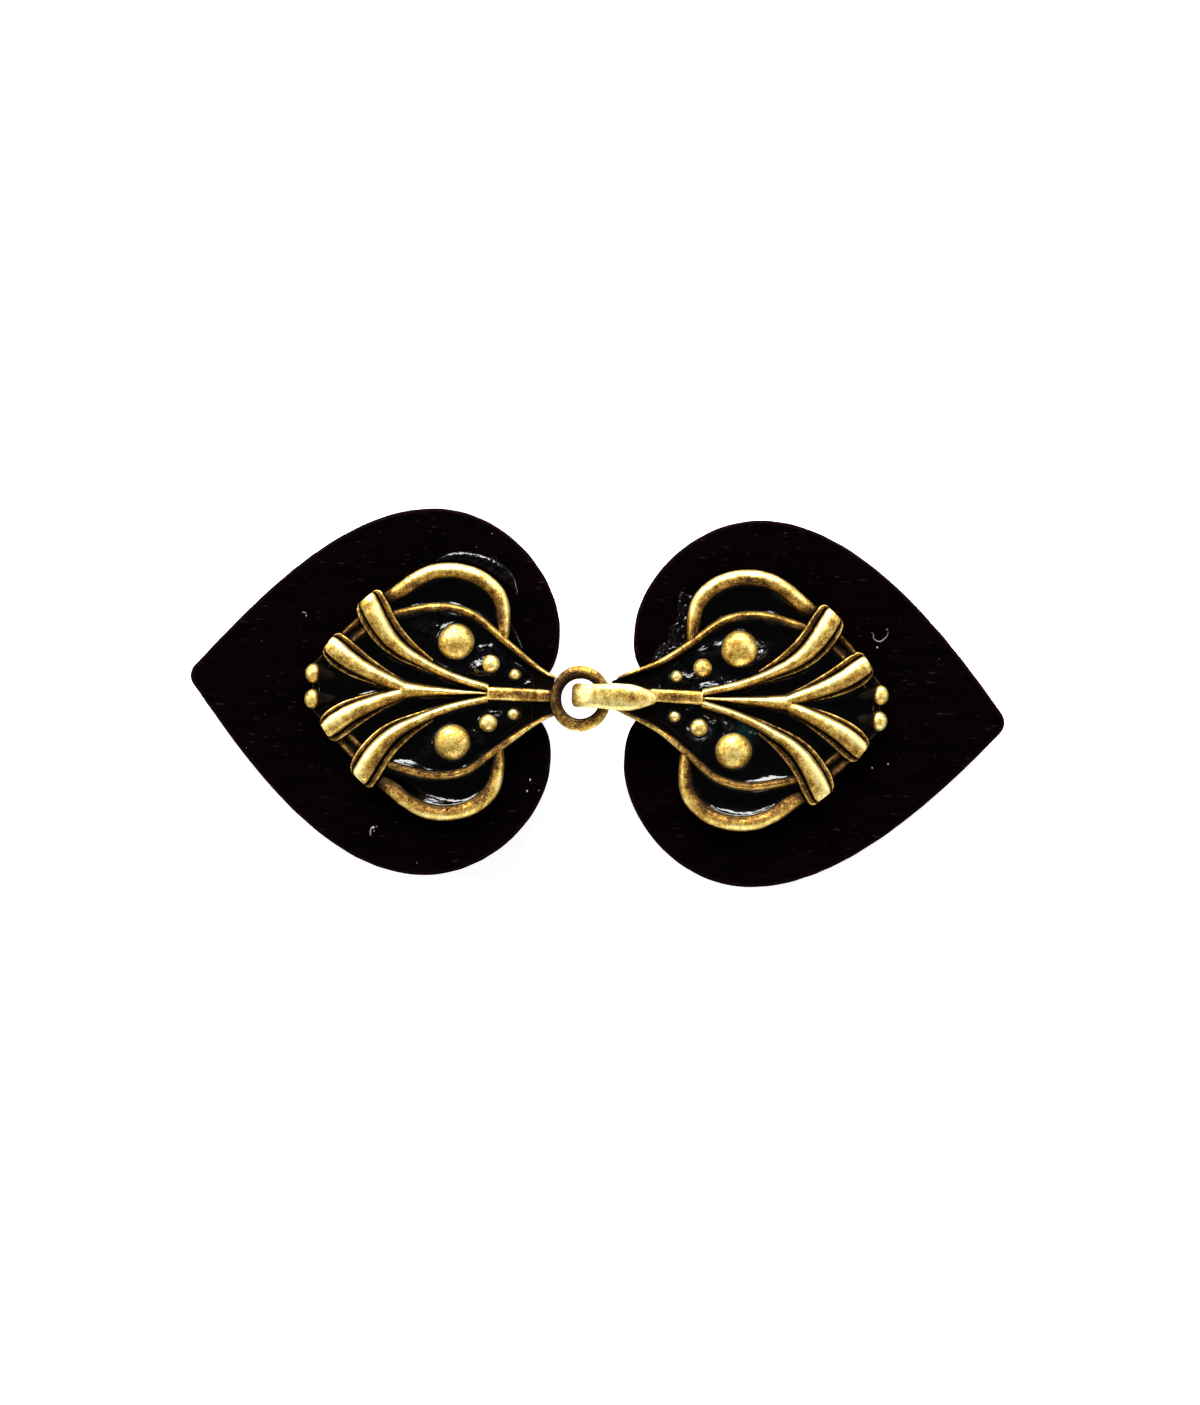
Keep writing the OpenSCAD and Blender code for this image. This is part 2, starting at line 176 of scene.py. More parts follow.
# Strips: along, off, width, top, polish
STEM = [
    [10.1, 0, 1.52, 2.55, 0.85], [9.0, 0, 1.48, 2.55, 0.85],
    [7.0, 0, 1.45, 2.5, 0.82], [4.6, 0, 1.4, 2.42, 0.8],
]
LOOP = [
    [22.4, 9.5, 0.9, 0.9, 0.1], [21.3, 10.0, 1.3, 1.4, 0.35], [20.1, 10.75, 1.57, 1.85, 0.75],
    [18.3, 12.1, 1.62, 2.05, 0.9], [16.3, 13.0, 1.66, 2.05, 0.95], [14.6, 13.2, 1.66, 2.05, 0.95],
    [12.9, 13.0, 1.66, 2.05, 0.95], [11.5, 12.5, 1.68, 2.05, 0.93], [10.3, 11.7, 1.68, 2.05, 0.92],
    [9.4, 10.75, 1.64, 2.05, 0.9], [8.9, 9.7, 1.56, 2.0, 0.88], [8.68, 8.5, 1.45, 1.95, 0.85],
    [8.6, 7.4, 1.3, 1.9, 0.8], [8.6, 6.0, 1.1, 1.8, 0.6],
]
ARC = [
    [21.9, 7.7, 0.8, 1.6, 0.15], [20.3, 8.2, 0.85, 1.8, 0.5], [18.6, 8.65, 0.93, 1.95, 0.64],
    [16.3, 9.1, 0.97, 2.0, 0.7], [14.6, 9.12, 0.95, 2.0, 0.72], [13.2, 8.88, 0.92, 2.0, 0.72],
    [11.9, 8.4, 0.88, 1.95, 0.72], [10.8, 7.65, 0.85, 1.9, 0.72], [9.75, 6.8, 0.82, 1.9, 0.74],
    [8.7, 5.95, 0.8, 1.9, 0.78], [7.05, 4.68, 0.72, 1.85, 0.84],
]
RING_NECK_STRIP = [[5.0, 3.15, 0.55, 2.0, 0.8], [3.5, 2.25, 0.42, 2.3, 0.75], [2.8, 1.95, 0.35, 2.4, 0.4]]
HOOK_NECK_STRIP = [
    [4.9, 3.35, 0.6, 1.75, 0.75], [3.2, 2.6, 0.5, 1.6, 0.7], [1.9, 2.05, 0.45, 1.45, 0.6],
    [0.9, 1.6, 0.35, 1.2, 0.3],
]
WEB = [
    [23.05, 8.15, 1.7, 1.3, 0.34], [23.9, 7.05, 1.8, 1.2, 0.38], [25.15, 5.8, 1.8, 1.2, 0.38],
    [26.3, 4.65, 1.5, 1.3, 0.34],
]
KNOB_TAIL = [
    [28.9, 1.4, 1.9, 1.75, 0.3], [28.1, 1.36, 1.65, 1.4, 0.08], [27.2, 1.26, 1.3, 1.2, 0.04],
    [26.4, 1.1, 0.8, 1.0, 0.0],
]
RING_NECK_STEM = [
    [5.3, 0, 1.3, 2.3, 0.8], [4.8, 0, 1.4, 2.44, 0.8], [3.6, 0, 1.32, 2.6, 0.75],
    [2.75, 0, 1.25, 2.8, 0.4],
]
HOOK_NECK_STEM = [
    [4.9, 0, 1.3, 2.3, 0.75], [3.1, 0, 1.25, 2.2, 0.5], [1.5, 0, 1.1, 1.6, 0.1], [0.5, 0, 0.8, 1.3, 0.0],
]

# Wear and painted light across a strip, rib, arc and stem: rubbed edges, a darker middle painted as a
# reflection of the dim overhead and, on strips, ribs and arcs, one side painted brighter as if lit; place
# from the side of the clasp's middle line to the other side, share of the polish that is left
STRIP_WEAR_AND_LIGHT = [
    [-1.0, 0.5], [-0.93, 0.85], [-0.84, 0.78], [-0.7, 0.55], [-0.25, 0.6], [0.05, 0.85], [0.3, 1.02],
    [0.8, 1.05], [0.93, 0.95], [1.0, 0.85],
]
RIB_WEAR_AND_LIGHT = [
    [-1.0, 0.6], [-0.93, 0.95], [-0.84, 0.88], [-0.7, 0.7], [-0.25, 0.76], [0.1, 0.98], [0.35, 1.12],
    [0.8, 1.15], [0.93, 1.0], [1.0, 0.85],
]
ARC_WEAR_AND_LIGHT = [[-1.0, 0.4], [-0.88, 0.8], [-0.6, 0.52], [0.0, 0.58], [0.4, 0.9], [0.8, 1.3], [1.0, 0.9]]
STEM_WEAR_AND_LIGHT = [[-1.0, 0.8], [-0.88, 1.08], [-0.6, 0.77], [0.0, 0.66], [0.6, 0.77], [0.88, 1.08], [1.0, 0.8]]
# The same across the ring's wire, from its hole outwards
RING_WEAR_AND_LIGHT = [
    [-1.0, 0.3], [-0.9, 0.28], [-0.7, 0.46], [-0.4, 0.38], [0.1, 0.52], [0.6, 0.57], [0.85, 0.78],
    [1.0, 0.68],
]
# Painted shade: polish that the ring lacks beside its casting's neck and on its upper side, which its lower
# side gains as painted light, and share of polish that lower loops keep, darker than the upper ones as if in
# shade
NECK_SHADE = 0.35
UPPER_SHADE = 0.2
LOWER_LOOP_SHADE = 0.86

# Halves of outlines: along, off
DOME_PLATE = [
    [5.1, 0], [5.1, 3.1], [7.2, 4.8], [9.0, 6.2], [11.3, 8.05], [13.2, 8.8], [15.4, 9.05],
    [17.5, 8.8], [19.4, 8.4], [21.3, 7.8], [21.4, 6.2], [19.8, 4.6], [17.7, 3.3], [15.2, 2.15],
    [10.35, 0],
]
KNOB_PLATE = [
    [20.3, 0], [22.2, 0.8], [24.3, 1.9], [26.5, 3.6], [28.3, 3.4], [29.1, 2.5], [29.5, 1.1],
    [29.1, 0],
]
HOOK_NECK_PLATE = [[0.3, 0], [0.3, 1.3], [2.1, 2.05], [3.7, 2.8], [5.7, 3.75], [5.7, 0]]
GLUE_OUTLINE = [
    [4.6, 0], [4.6, 2.75], [6.9, 4.5], [7.9, 5.6], [8.1, 7.3], [8.2, 8.8], [8.5, 10.1], [9.2, 11.3],
    [10.3, 12.3], [11.7, 13.1], [13.2, 13.5], [14.8, 13.65], [16.5, 13.4], [18.2, 12.7], [19.8, 11.6],
    [21.3, 10.5], [22.6, 9.8], [23.4, 9.1], [24.0, 8.0], [25.2, 6.6], [26.3, 5.4], [27.3, 4.3],
    [27.8, 3.2], [28.7, 2.2], [29.3, 1.3], [29.3, 0],
]

# Domes: along, off, radius, height over the plate. Knobs: along, off, radius, height
DOMES = [[13.74, 5.47, 2.0, 1.45], [9.9, 3.2, 1.03, 1.1], [7.2, 2.12, 0.68, 0.95]]
KNOB = [29.1, 1.39, 1.0, 2.0]
KNOB_STRETCH = (0.86, 1.06)
# How far they sink into their plates, and how full their sides are: 1 is a plain ellipse, less is fuller
DOME_SINK = 0.1
DOME_FULLNESS = 0.82

# Beads of glue that were pressed out at the ring's casting: along, off, width, top, haze with a painted sheen
GLUE_RIDGES = [
    [[16.3, 14.1, 0.3, 0.1, 0], [14.9, 14.6, 1.0, 0.3, 0.5], [13.2, 14.7, 1.3, 0.36, 0.5],
     [11.3, 14.25, 1.6, 0.42, 0.5], [10.0, 13.7, 1.7, 0.45, 0.5], [8.4, 12.6, 1.4, 0.34, 0.5],
     [7.4, 10.9, 0.4, 0.1, 0]],
    [[8.1, 7.9, 0.3, 0.1, 0], [7.5, 6.6, 0.7, 0.25, 0.5], [6.6, 4.9, 0.3, 0.1, 0]],
    [[9.4, 0.95, 0.2, 1.1, 0], [7.0, 1.0, 0.6, 1.3, 0.5], [4.7, 1.0, 0.2, 1.1, 0]],
]
# Places where it filled the corner beside a strip: along, off, reach, height, stretch, turn
LEFT_FILLETS = [
    [18.9, -10.4, 1.1, 0.6, 1.6, 0.45], [15.8, -11.8, 1.1, 0.7, 3.0, 0.2], [18.1, -8.0, 0.8, 0.45, 2.0, 0.25],
    [14.5, 8.2, 1.2, 0.2, 1.0, 0.0],
]
RIGHT_FILLETS = [
    [14.5, -11.6, 1.6, 0.5, 2.0, 0.0], [17.5, 11.0, 1.0, 0.4, 1.0, 0.0], [17.6, -7.9, 1.0, 0.4, 1.6, 0.2],
    [9.2, -4.0, 1.2, 0.3, 1.0, 0.0],
]
# Smear of glue beside the hook's casting: along, off
GLUE_FILM = [
    [4.55, 3.1], [4.5, 4.0], [5.1, 5.1], [5.9, 5.9], [6.1, 7.3], [6.9, 8.0], [7.0, 9.6], [7.3, 11.2],
    [8.1, 11.0], [8.9, 9.5], [8.6, 7.6], [8.2, 5.9], [6.6, 4.6], [4.9, 3.1],
]
# Inner point that the smear runs down from, and its haze with a painted sheen
FILM_MIDDLE = (7.0, 7.0)
FILM_HAZE_AND_SHEEN = 0.6
# Painted greenish reflection in the glue beside the hook casting's lower dome: along, off, reach
TEAL_REFLECTION = [15.1, -3.4, 1.1]

# The swells' height against the tables, their length against their width, and how far they turn at random
WELL_RISE = 0.75
WELL_STRETCH = 2.0
WELL_TURN = 0.8

# Scuffs and specks on the hearts, from the ring's middle: x, y, width, rise, strength
LEFT_SCUFFS = [
    [[-22.17, -15.88, 0.14, 0.1, 0.3], [-22.22, -15.54, 0.18, 0.1, 0.5], [-22.2, -15.21, 0.18, 0.1, 0.45],
     [-22.1, -14.99, 0.2, 0.1, 0.6], [-21.94, -14.89, 0.24, 0.1, 1.0], [-21.83, -15.01, 0.26, 0.1, 1.0]],
    [[-21.63, -14.85, 0.22, 0.1, 0.3], [-21.5, -14.8, 0.22, 0.1, 0.3]],
    [[-21.87, -15.29, 0.2, 0.1, 0.4], [-21.76, -15.35, 0.2, 0.1, 0.4]],
    [[-5.17, -9.06, 0.26, 0.12, 1.0], [-5.03, -9.05, 0.26, 0.12, 1.0]],
    [[-5.46, -10.27, 0.24, 0.12, 1.0], [-5.32, -10.32, 0.24, 0.12, 1.0]],
    [[-30.64, 8.15, 0.12, 0.1, 0.4], [-30.42, 8.11, 0.14, 0.1, 0.5], [-30.2, 8.06, 0.14, 0.1, 0.5]],
    [[-30.19, 7.9, 0.14, 0.1, 0.5], [-30.16, 7.62, 0.12, 0.1, 0.4]],
]
RIGHT_SCUFFS = [
    [[31.31, 8.57, 0.1, 0.1, 0.2], [31.52, 8.34, 0.14, 0.1, 0.3], [31.57, 7.88, 0.14, 0.1, 0.35],
     [31.85, 7.66, 0.16, 0.1, 0.4], [32.24, 7.56, 0.18, 0.1, 0.5], [32.7, 7.85, 0.18, 0.1, 0.45],
     [33.03, 8.21, 0.14, 0.1, 0.35], [33.13, 8.65, 0.1, 0.1, 0.2]],
    [[32.9, 8.87, 0.22, 0.1, 0.3], [33.1, 8.96, 0.22, 0.1, 0.3]],
    [[31.94, 6.94, 0.22, 0.12, 1.0], [32.08, 6.9, 0.22, 0.12, 1.0]],
    [[31.92, -6.2, 0.22, 0.12, 0.9], [32.08, -6.19, 0.22, 0.12, 0.9]],
    [[33.64, -5.69, 0.2, 0.12, 0.8], [33.8, -5.69, 0.2, 0.12, 0.8]],
]
SCUFF_Z = LEATHER_T - 0.07

# Swells where the glue welled up: along, off, radius, height
LEFT_WELLS = [
    [11.4, 2.9, 0.5, 0.45], [10.8, 2.45, 0.4, 0.4], [9.6, 4.7, 0.4, 0.4], [10.9, 4.9, 0.25, 0.35],
    [16.2, 6.8, 0.6, 0.25], [6.4, 3.0, 0.4, 0.25], [9.0, -2.0, 0.5, 0.4], [11.3, -4.4, 0.3, 0.3],
    [7.9, -1.3, 0.4, 0.25], [16.1, -6.0, 0.5, 0.25], [5.9, 1.1, 0.4, 0.3],
]
RIGHT_WELLS = [
    [9.9, 4.9, 0.4, 0.45], [8.6, 2.2, 0.45, 0.4], [10.6, 1.2, 0.5, 0.3], [12.0, 2.1, 0.35, 0.3],
    [11.2, 5.6, 0.5, 0.3], [16.2, 5.2, 0.35, 0.4], [16.0, 6.0, 0.25, 0.35], [12.9, -2.6, 0.4, 0.45],
    [11.0, -2.2, 0.35, 0.4], [10.6, -3.9, 0.5, 0.25], [8.4, -1.1, 0.4, 0.2], [14.7, -2.9, 0.7, 0.25],
]

# Contrast of the picture, as a studio print has it
CONTRAST_GAMMA = 0.95

# Soft lights: name, azimuth and elevation in degrees, distance and size in metres, power in watts
LIGHTS = [
    ("key_light", 100, 36, 0.6, (0.5, 0.2), 9.2),
    ("right_light", 10, 34, 0.6, (0.2, 0.16), 1.0),
    ("left_light", 170, 34, 0.6, (0.2, 0.16), 1.4),
    ("front_light", -80, 32, 0.6, (0.5, 0.12), 1.4),
]

# Light of the surroundings overhead and at the sides, and half the floor's width in metres
OVERHEAD_GLOW = 0.06
SIDE_GLOW = 0.3
FLOOR_HALF = 2

# Softened edges of the clips, and the distance at which their doubled corners join
CLIP_EDGE = 0.16
CLIP_WELD = 0.001

# Fineness of the fused castings
PATH_STEP = 0.16
VOXEL = 0.075
CASTING_TRIANGLES = 170000

# Unevenness of the castings, of the leather and of its cut side: wave length, height
CAST_WAVES = [[2.6, 0.02], [0.9, 0.012]]
LEATHER_WAVES = [[11.0, 0.045], [3.2, 0.012]]
CUT_WAVES = [[2.4, 0.03]]

# Points whose distances are measured together
POINTS_AT_ONCE = 4000


def unit(v):
    return v / np.maximum(np.linalg.norm(v, axis=-1, keepdims=True), 1e-12)


def smooth_rows(table, step=PATH_STEP):
    """Rows about step apart on a smooth curve through a table's rows, whose first two columns are places."""
    rows = np.array(table, float)
    reach = np.r_[0, np.cumsum(np.linalg.norm(np.diff(rows[:, :2], axis=0), axis=1))]
    slopes = np.gradient(rows, reach, axis=0) if len(rows) > 2 else np.diff(rows, axis=0)[[0, 0]] / reach[-1]
    at = np.linspace(0, reach[-1], max(3, int(reach[-1] / step) + 1))
    i = np.clip(np.searchsorted(reach, at, side="right") - 1, 0, len(reach) - 2)
    gap = np.diff(reach)[i][:, None]
    t = (at - reach[i])[:, None] / gap
    start = (1 + 2 * t) * (1 - t) ** 2 * rows[i] + t * (1 - t) ** 2 * gap * slopes[i]
    return start + t * t * (3 - 2 * t) * rows[i + 1] + t * t * (t - 1) * gap * slopes[i + 1]


def waves(points, length, seed, count=20):
    """Smooth seeded noise from -1 to 1, with waves of about the given length."""
    rng = np.random.default_rng(seed)
    points = np.asarray(points, float)
    total = np.zeros(len(points))
    for _ in range(count):
        way = unit(rng.normal(size=points.shape[1]))
        phase = points @ way * 2 * math.pi / (length * rng.uniform(0.7, 1.5))
        total += np.sin(phase + rng.uniform(0, 2 * math.pi))
    return np.clip(total / math.sqrt(count), -2, 2) / 2


def uneven(points, table, seed):
    """Sum of seeded waves, given as length and height."""
    return sum(height * waves(points, length, seed + i) for i, (length, height) in enumerate(table))


def step_between(low, high, x):
    """Smooth step from 0 at the low limit to 1 at the high one."""
    t = np.clip((x - low) / (high - low), 0, 1)
    return t * t * (3 - 2 * t)


def with_column(points, value):
    """Points with one more value each, such as a height or a polish."""
    return np.column_stack([points, np.full(len(points), value)])


# Closed solids as points and faces; a point has its place and its polish, from 0, black, to 1, rubbed bright,
# which also carries painted light and shade
def bands(count, n, m):
    """Faces of count bands between n rings of m points; the nth joins the last ring to the first."""
    return [
        (i * m + j, i * m + (j + 1) % m, (i + 1) % n * m + (j + 1) % m, (i + 1) % n * m + j)
        for i in range(count)
        for j in range(m)
    ]


def tube(rings):
    """Solid through rings of points, closed at both ends."""
    rings = np.array(rings, float)
    n, m, k = rings.shape
    ends = [tuple(range(m))[::-1], tuple(range((n - 1) * m, n * m))]
    return rings.reshape(-1, k), bands(n - 1, n, m) + ends


def sweep(table, section, slant=0.0):
    """Tube along a table's path; section(row) gives points across, to the path's left, up, and polish."""
    rows = smooth_rows(table)
    way = unit(np.gradient(rows[:, :2], axis=0))
    rings = []
    for i, (row, (along, off)) in enumerate(zip(rows, way)):
        across, up, polish_and_light = np.array(section(row)).T
        shift = slant * math.exp(-(i * PATH_STEP / SLANT_REACH) ** 2) * across
        u = row[0] - off * across + along * shift
        v = row[1] + along * across + off * shift
        rings.append(np.column_stack([u, v, up, row[-1] * polish_and_light]))
    return tube(rings)


def crown(half, foot, top, power, count=17, shoulder=0.55):
    """Rounded crown from the left foot to the right foot, as points across, up and polish."""
    angles = np.linspace(math.pi, 0, count)
    c, s = np.cos(angles), np.sin(angles)
    across = half * np.sign(c) * np.abs(c) ** (2 / power)
    up = foot + (top - foot) * np.abs(s) ** (2 / power)
    return np.column_stack([across, up, shoulder + (1 - shoulder) * step_between(0.0, 0.6, s)])


def worn_and_lit(section, half, wear_and_light, side=1):
    """Section worn and painted with light and shade by a table that runs from its left, the middle line's
    side; side -1 turns that round.
    """
    at, share = np.array(wear_and_light).T
    section[:, 2] *= np.interp(-side * section[:, 0] / half, at, share)
    return section


def strip_section(row, wear_and_light=STRIP_WEAR_AND_LIGHT, flare=1.04, sides=0.42, power=2.4, shoulder=0.3):
    """Rounded strip on steep sides, which take up a share of its height."""
    half, top = row[2] / 2, row[3]
    foot = half * flare
    rounded = crown(half, sides * top, top, power, 25, shoulder)
    return worn_and_lit(np.vstack([[[-foot, 0.0, 0.0]], rounded, [[foot, 0.0, 0.0]]]), half, wear_and_light)


def arc_section(row):
    """Strip that is rubbed less and painted in shade on its left, the side of the domes."""
    return strip_section(row, ARC_WEAR_AND_LIGHT)


def bead_section(row):
    """Low rounded bead."""
    return crown(row[2] / 2, 0.0, row[3], 2.0)


def bar_section(row):
    """Flat bar with rounded shoulders."""
    return strip_section(row, STEM_WEAR_AND_LIGHT, 1.05, 0.66, 3.6, 0.5)


def rib_section(row, side=1):
    """Crown with a grooved ledge on each side, for a row of a rib table; side -1 turns its wear and painted
    light round.
    """
    half, left, right, top = row[2] / 2, max(row[3], 0.02), max(row[4], 0.02), row[5]
    shelf = top * row[6]
    groove = 0.3 * min(1.0, min(left, right) / 0.3)

    def ledge(width):
        edge = half + width
        return [
            [edge + 0.05, 0.0, 0.0],
            [edge, shelf - 0.16, 0.25],
            [edge - 0.1 * width, shelf, 0.8],
            [edge - 0.3 * width, shelf - 0.04, 0.48],
            [half + 0.3 * width, shelf - 0.25 * groove, 0.42],
            [half + 0.18 * width, shelf - groove, 0.0],
            [half + 0.02 * width, shelf - groove, 0.0],
        ]

    rounded = worn_and_lit(crown(half, shelf, top, 2.7, 25, 0.4), half, RIB_WEAR_AND_LIGHT, side)
    return np.vstack([[[-x, z, p] for x, z, p in ledge(right)], rounded, ledge(left)[::-1]])


def lower_rib_section(row):
    """Rib whose wear and painted light run the other way, so that once mirrored it too is painted brightest
    on its upper side, as if lit from above.
    """
    return rib_section(row, -1)


def web_section(row):
    """Low bar with raised edges and a groove between them."""
    half, top = row[2] / 2, row[3]
    side = [
        [-half, 0.0, 0.0],
        [-half, 0.8 * top, 0.6],
        [-0.8 * half, top, 1.1],
        [-0.5 * half, 0.9 * top, 0.8],
        [-0.15 * half, 0.55 * top, 0.7],
    ]
    return side + [[-x, z, p] for x, z, p in side[::-1]]


def circle(count):
    """Cosines and sines of angles round a circle."""
    turns = np.linspace(0, 2 * math.pi, count, endpoint=False)
    return np.cos(turns), np.sin(turns)


def lathe(middle, profile, sides=40):
    """Solid turned round an upright axis: profile has radius, height and polish, from the foot to the top."""
    c, s = circle(sides)
    same = np.ones(sides)
    x, y = middle
    return tube([
        np.column_stack([x + r * c, y + r * s, z * same, polish_and_light * same])
        for r, z, polish_and_light in profile
    ])


def dome(middle, radius, foot, height, polish_and_light=0.75):
    """Round cap on a short neck."""
    cap = []
    for a in np.radians(np.arange(0, 88, 8)):
        out, up = math.cos(a) ** DOME_FULLNESS, math.sin(a) ** DOME_FULLNESS
        cap.append([radius * out, foot + height * up, polish_and_light * step_between(-0.8, 0.35, a)])
    return lathe(middle, [[radius * 0.93, foot - 0.3, 0.0]] + cap)


def knob():
    """Dome stretched across the clasp."""
    foot = KNOB_PLATE_T - DOME_SINK
    points, faces = dome((0, 0), KNOB[2], foot, KNOB[3] - foot, 0.76)
    # Painted shade: the side that faces into the fan stays dark
    points[:, 3] *= step_between(-0.95, -0.35, points[:, 0] / KNOB[2])
    return points * [*KNOB_STRETCH, 1, 1] + [*KNOB[:2], 0, 0], faces


def both_sides(half):
    """Whole outline from the half that starts and ends on the middle line."""
    return list(half) + [[x, -y] for x, y in half[-2:0:-1]]


def plate(half, top):
    """Black plate from half its outline."""
    return tube([with_column(with_column(both_sides(half), z), 0) for z in (0, top)])


def mirrored(part, wear_and_light=1.0):
    """Part on the other side of the middle line, with a share of its polish."""
    points, faces = part
    return points * [1, -1, 1, wear_and_light], [f[::-1] for f in faces]


def moved(part, shift, flip=False, turn=0.0, size=1.0):
    """Part sized, turned and shifted to its place; flip puts it at the other end of the clasp."""
    points, faces = part
    if flip:
        points, faces = points * [-1, 1, 1, 1], [f[::-1] for f in faces]
    c, s = size * math.cos(turn), size * math.sin(turn)
    x, y, z, polish_and_light = points.T
    return np.column_stack([c * x - s * y, s * x + c * y, size * z, polish_and_light]) + [*shift, 0.0], faces


def fan(neck_strip):
    """Parts that both castings share, with the ring's middle at the origin."""
    loop = sweep(LOOP, strip_section)
    ribs = []
    for table, slant in ((OUTER_RIB, OUTER_RIB_SLANT), (INNER_RIB, INNER_RIB_SLANT)):
        ribs += [sweep(table, rib_section, slant), mirrored(sweep(table, lower_rib_section, slant))]
    half = [
        sweep(ARC + neck_strip, arc_section),
        sweep(WEB, web_section),
        sweep(KNOB_TAIL, strip_section),
        knob(),
    ]
    half += [dome(row[:2], row[2], PLATE_T - DOME_SINK, row[3] + DOME_SINK) for row in DOMES]
    whole = [
        loop,
        # Painted shade: the lower loop keeps only part of its polish
        mirrored(loop, LOWER_LOOP_SHADE),
        plate(DOME_PLATE, PLATE_T),
        plate(KNOB_PLATE, KNOB_PLATE_T),
        sweep(STEM_POINT, rib_section),
        sweep(STEM, bar_section),
    ]
    return ribs + half + [mirrored(part) for part in half] + whole


def ring():
    """Oval ring of round wire."""
    turns = np.linspace(0, 2 * math.pi, 120, endpoint=False)
    c, s = circle(28)
    points = []
    for a in turns:
        r = (WIRE_ACROSS + (WIRE_ALONG - WIRE_ACROSS) * math.sin(a) ** 2) / 2
        out = r * c
        polish_and_light = np.interp(c, *np.array(RING_WEAR_AND_LIGHT).T) * step_between(-0.6, 0.3, s)
        # Painted shade beside the neck and on the upper side of the wire, painted light on its lower side
        polish_and_light *= 1 - NECK_SHADE * step_between(0.3, 1.0, math.cos(a)) - UPPER_SHADE * math.sin(a)
        points.append(np.column_stack([
            (RING_RX + out) * math.cos(a), (RING_RY + out) * math.sin(a), RING_Z + r * s, polish_and_light,
        ]))
    return np.vstack(points), bands(len(turns), len(turns), len(c))


def ring_neck():
    """Wedge that lifts the casting's neck to the underside of the ring."""
    # Rows: along, half width, underside, top
    stations = [[5.9, 3.4, 0.0, 0.8], [5.1, 3.25, 0.0, 0.8], [3.3, 2.2, 0.9, 2.0], [2.9, 2.0, 0.9, 2.0]]
    wedge = tube([
        [[x, -w, low, 0], [x, w, low, 0], [x, w, high, 0], [x, -w, high, 0]] for x, w, low, high in stations
    ])
    return [wedge, sweep(RING_NECK_STEM, bar_section)]


def hook_bar():
    """Flat bar from the neck, round the bend and out to the tip of the upper arm."""
    top = RING_Z + HOOK_R
    # Rows: along, height of the bar's middle, its turn in degrees, width, thickness
    rows = [[4.9, BAR_T / 2, -180, 3.4, BAR_T], [3.4, BAR_T / 2, -180, 2.8, BAR_T]]
    for a in range(0, 181, 15):
        turn = math.radians(a)
        rows.append([
            HOOK_BEND_X - HOOK_R * math.sin(turn), RING_Z - HOOK_R * math.cos(turn), a - 180, BEND_W, BAR_T,
        ])
    rows += [
        [4.3, top, 0, ARM_W, BAR_T],
        [5.6, top - 0.2 * TIP_DIP, 3, ARM_W - 0.12, BAR_T],
        [6.8, top - 0.5 * TIP_DIP, 7, ARM_W - 0.75, BAR_T - 0.1],
        [7.7, top - 0.8 * TIP_DIP, 11, ARM_W - 1.45, BAR_T - 0.2],
        [HOOK_TIP - 0.15, top - 0.95 * TIP_DIP, 14, ARM_W - 1.95, BAR_T - 0.4],
        [HOOK_TIP, top - TIP_DIP, 14, ARM_W - 2.4, BAR_T - 0.6],
    ]
    c, s = circle(36)
    across = np.sign(c) * np.abs(c) ** (2 / 3.2)
    up = np.sign(s) * np.abs(s) ** (2 / 2.6)
    rings = []
    for x, z, turn, width, thick in smooth_rows(rows):
        a = math.radians(turn)
        out = up * thick / 2
        # Painted dark reflection along the middle of the upper arm
        streak = math.exp(-((x - STREAK_X) / STREAK_L) ** 2) * np.exp(-(across / STREAK_W) ** 2)
        polish_and_light = (HOOK_POLISH - STREAK_DEPTH * streak) * step_between(-0.7, 0.4, s)
        # Painted shade: the bend and the lower bar under the arm keep less polish
        polish_and_light *= 0.35 + 0.65 * step_between(-110, -20, turn)
        rings.append(np.column_stack([
            x + math.sin(a) * out, across * width / 2, z + math.cos(a) * out, polish_and_light,
        ]))
    return tube(rings)


def hook_neck():
    return [plate(HOOK_NECK_PLATE, PLATE_T), sweep(HOOK_NECK_STEM, bar_section)]


# Meshes
def in_scene(name, data):
    """New object of the scene."""
    made = bpy.data.objects.new(name, data)
    bpy.context.scene.collection.objects.link(made)
    return made


def new_piece(name, points, faces):
    mesh = bpy.data.meshes.new(name)
    mesh.from_pydata([tuple(p[:3]) for p in points], [], faces)
    mesh.validate()
    return in_scene(name, mesh)


def joined(parts):
    """Parts as one list of points and one of faces."""
    points, faces, start = [], [], 0
    for part_points, part_faces in parts:
        points.append(part_points)
        faces += [tuple(i + start for i in f) for f in part_faces]
        start += len(part_points)
    return np.vstack(points), faces


def turn_outwards(mesh):
    bm = bmesh.new()
    bm.from_mesh(mesh)
    bmesh.ops.recalc_face_normals(bm, faces=bm.faces)
    bm.to_mesh(mesh)
    bm.free()


def modify(piece, kind, **settings):
    """Applies one modifier to a piece."""
    modifier = piece.modifiers.new(kind, kind)
    for name, value in settings.items():
        setattr(modifier, name, value)
    bpy.context.view_layer.update()
    shaped = piece.evaluated_get(bpy.context.evaluated_depsgraph_get())
    mesh = bpy.data.meshes.new_from_object(shaped)
    old = piece.data
    piece.modifiers.clear()
    piece.data = mesh
    bpy.data.meshes.remove(old)


def read_points(mesh, name="co"):
    values = np.empty(len(mesh.vertices) * 3, np.float32)
    mesh.vertices.foreach_get(name, values)
    return values.reshape(-1, 3).astype(float)


def write_points(mesh, points):
    mesh.vertices.foreach_set("co", np.asarray(points, np.float32).ravel())
    mesh.update()


def write_mask(mesh, name, values):
    mask = mesh.attributes.new(name, "FLOAT", "POINT")
    mask.data.foreach_set("value", np.asarray(values, np.float32))


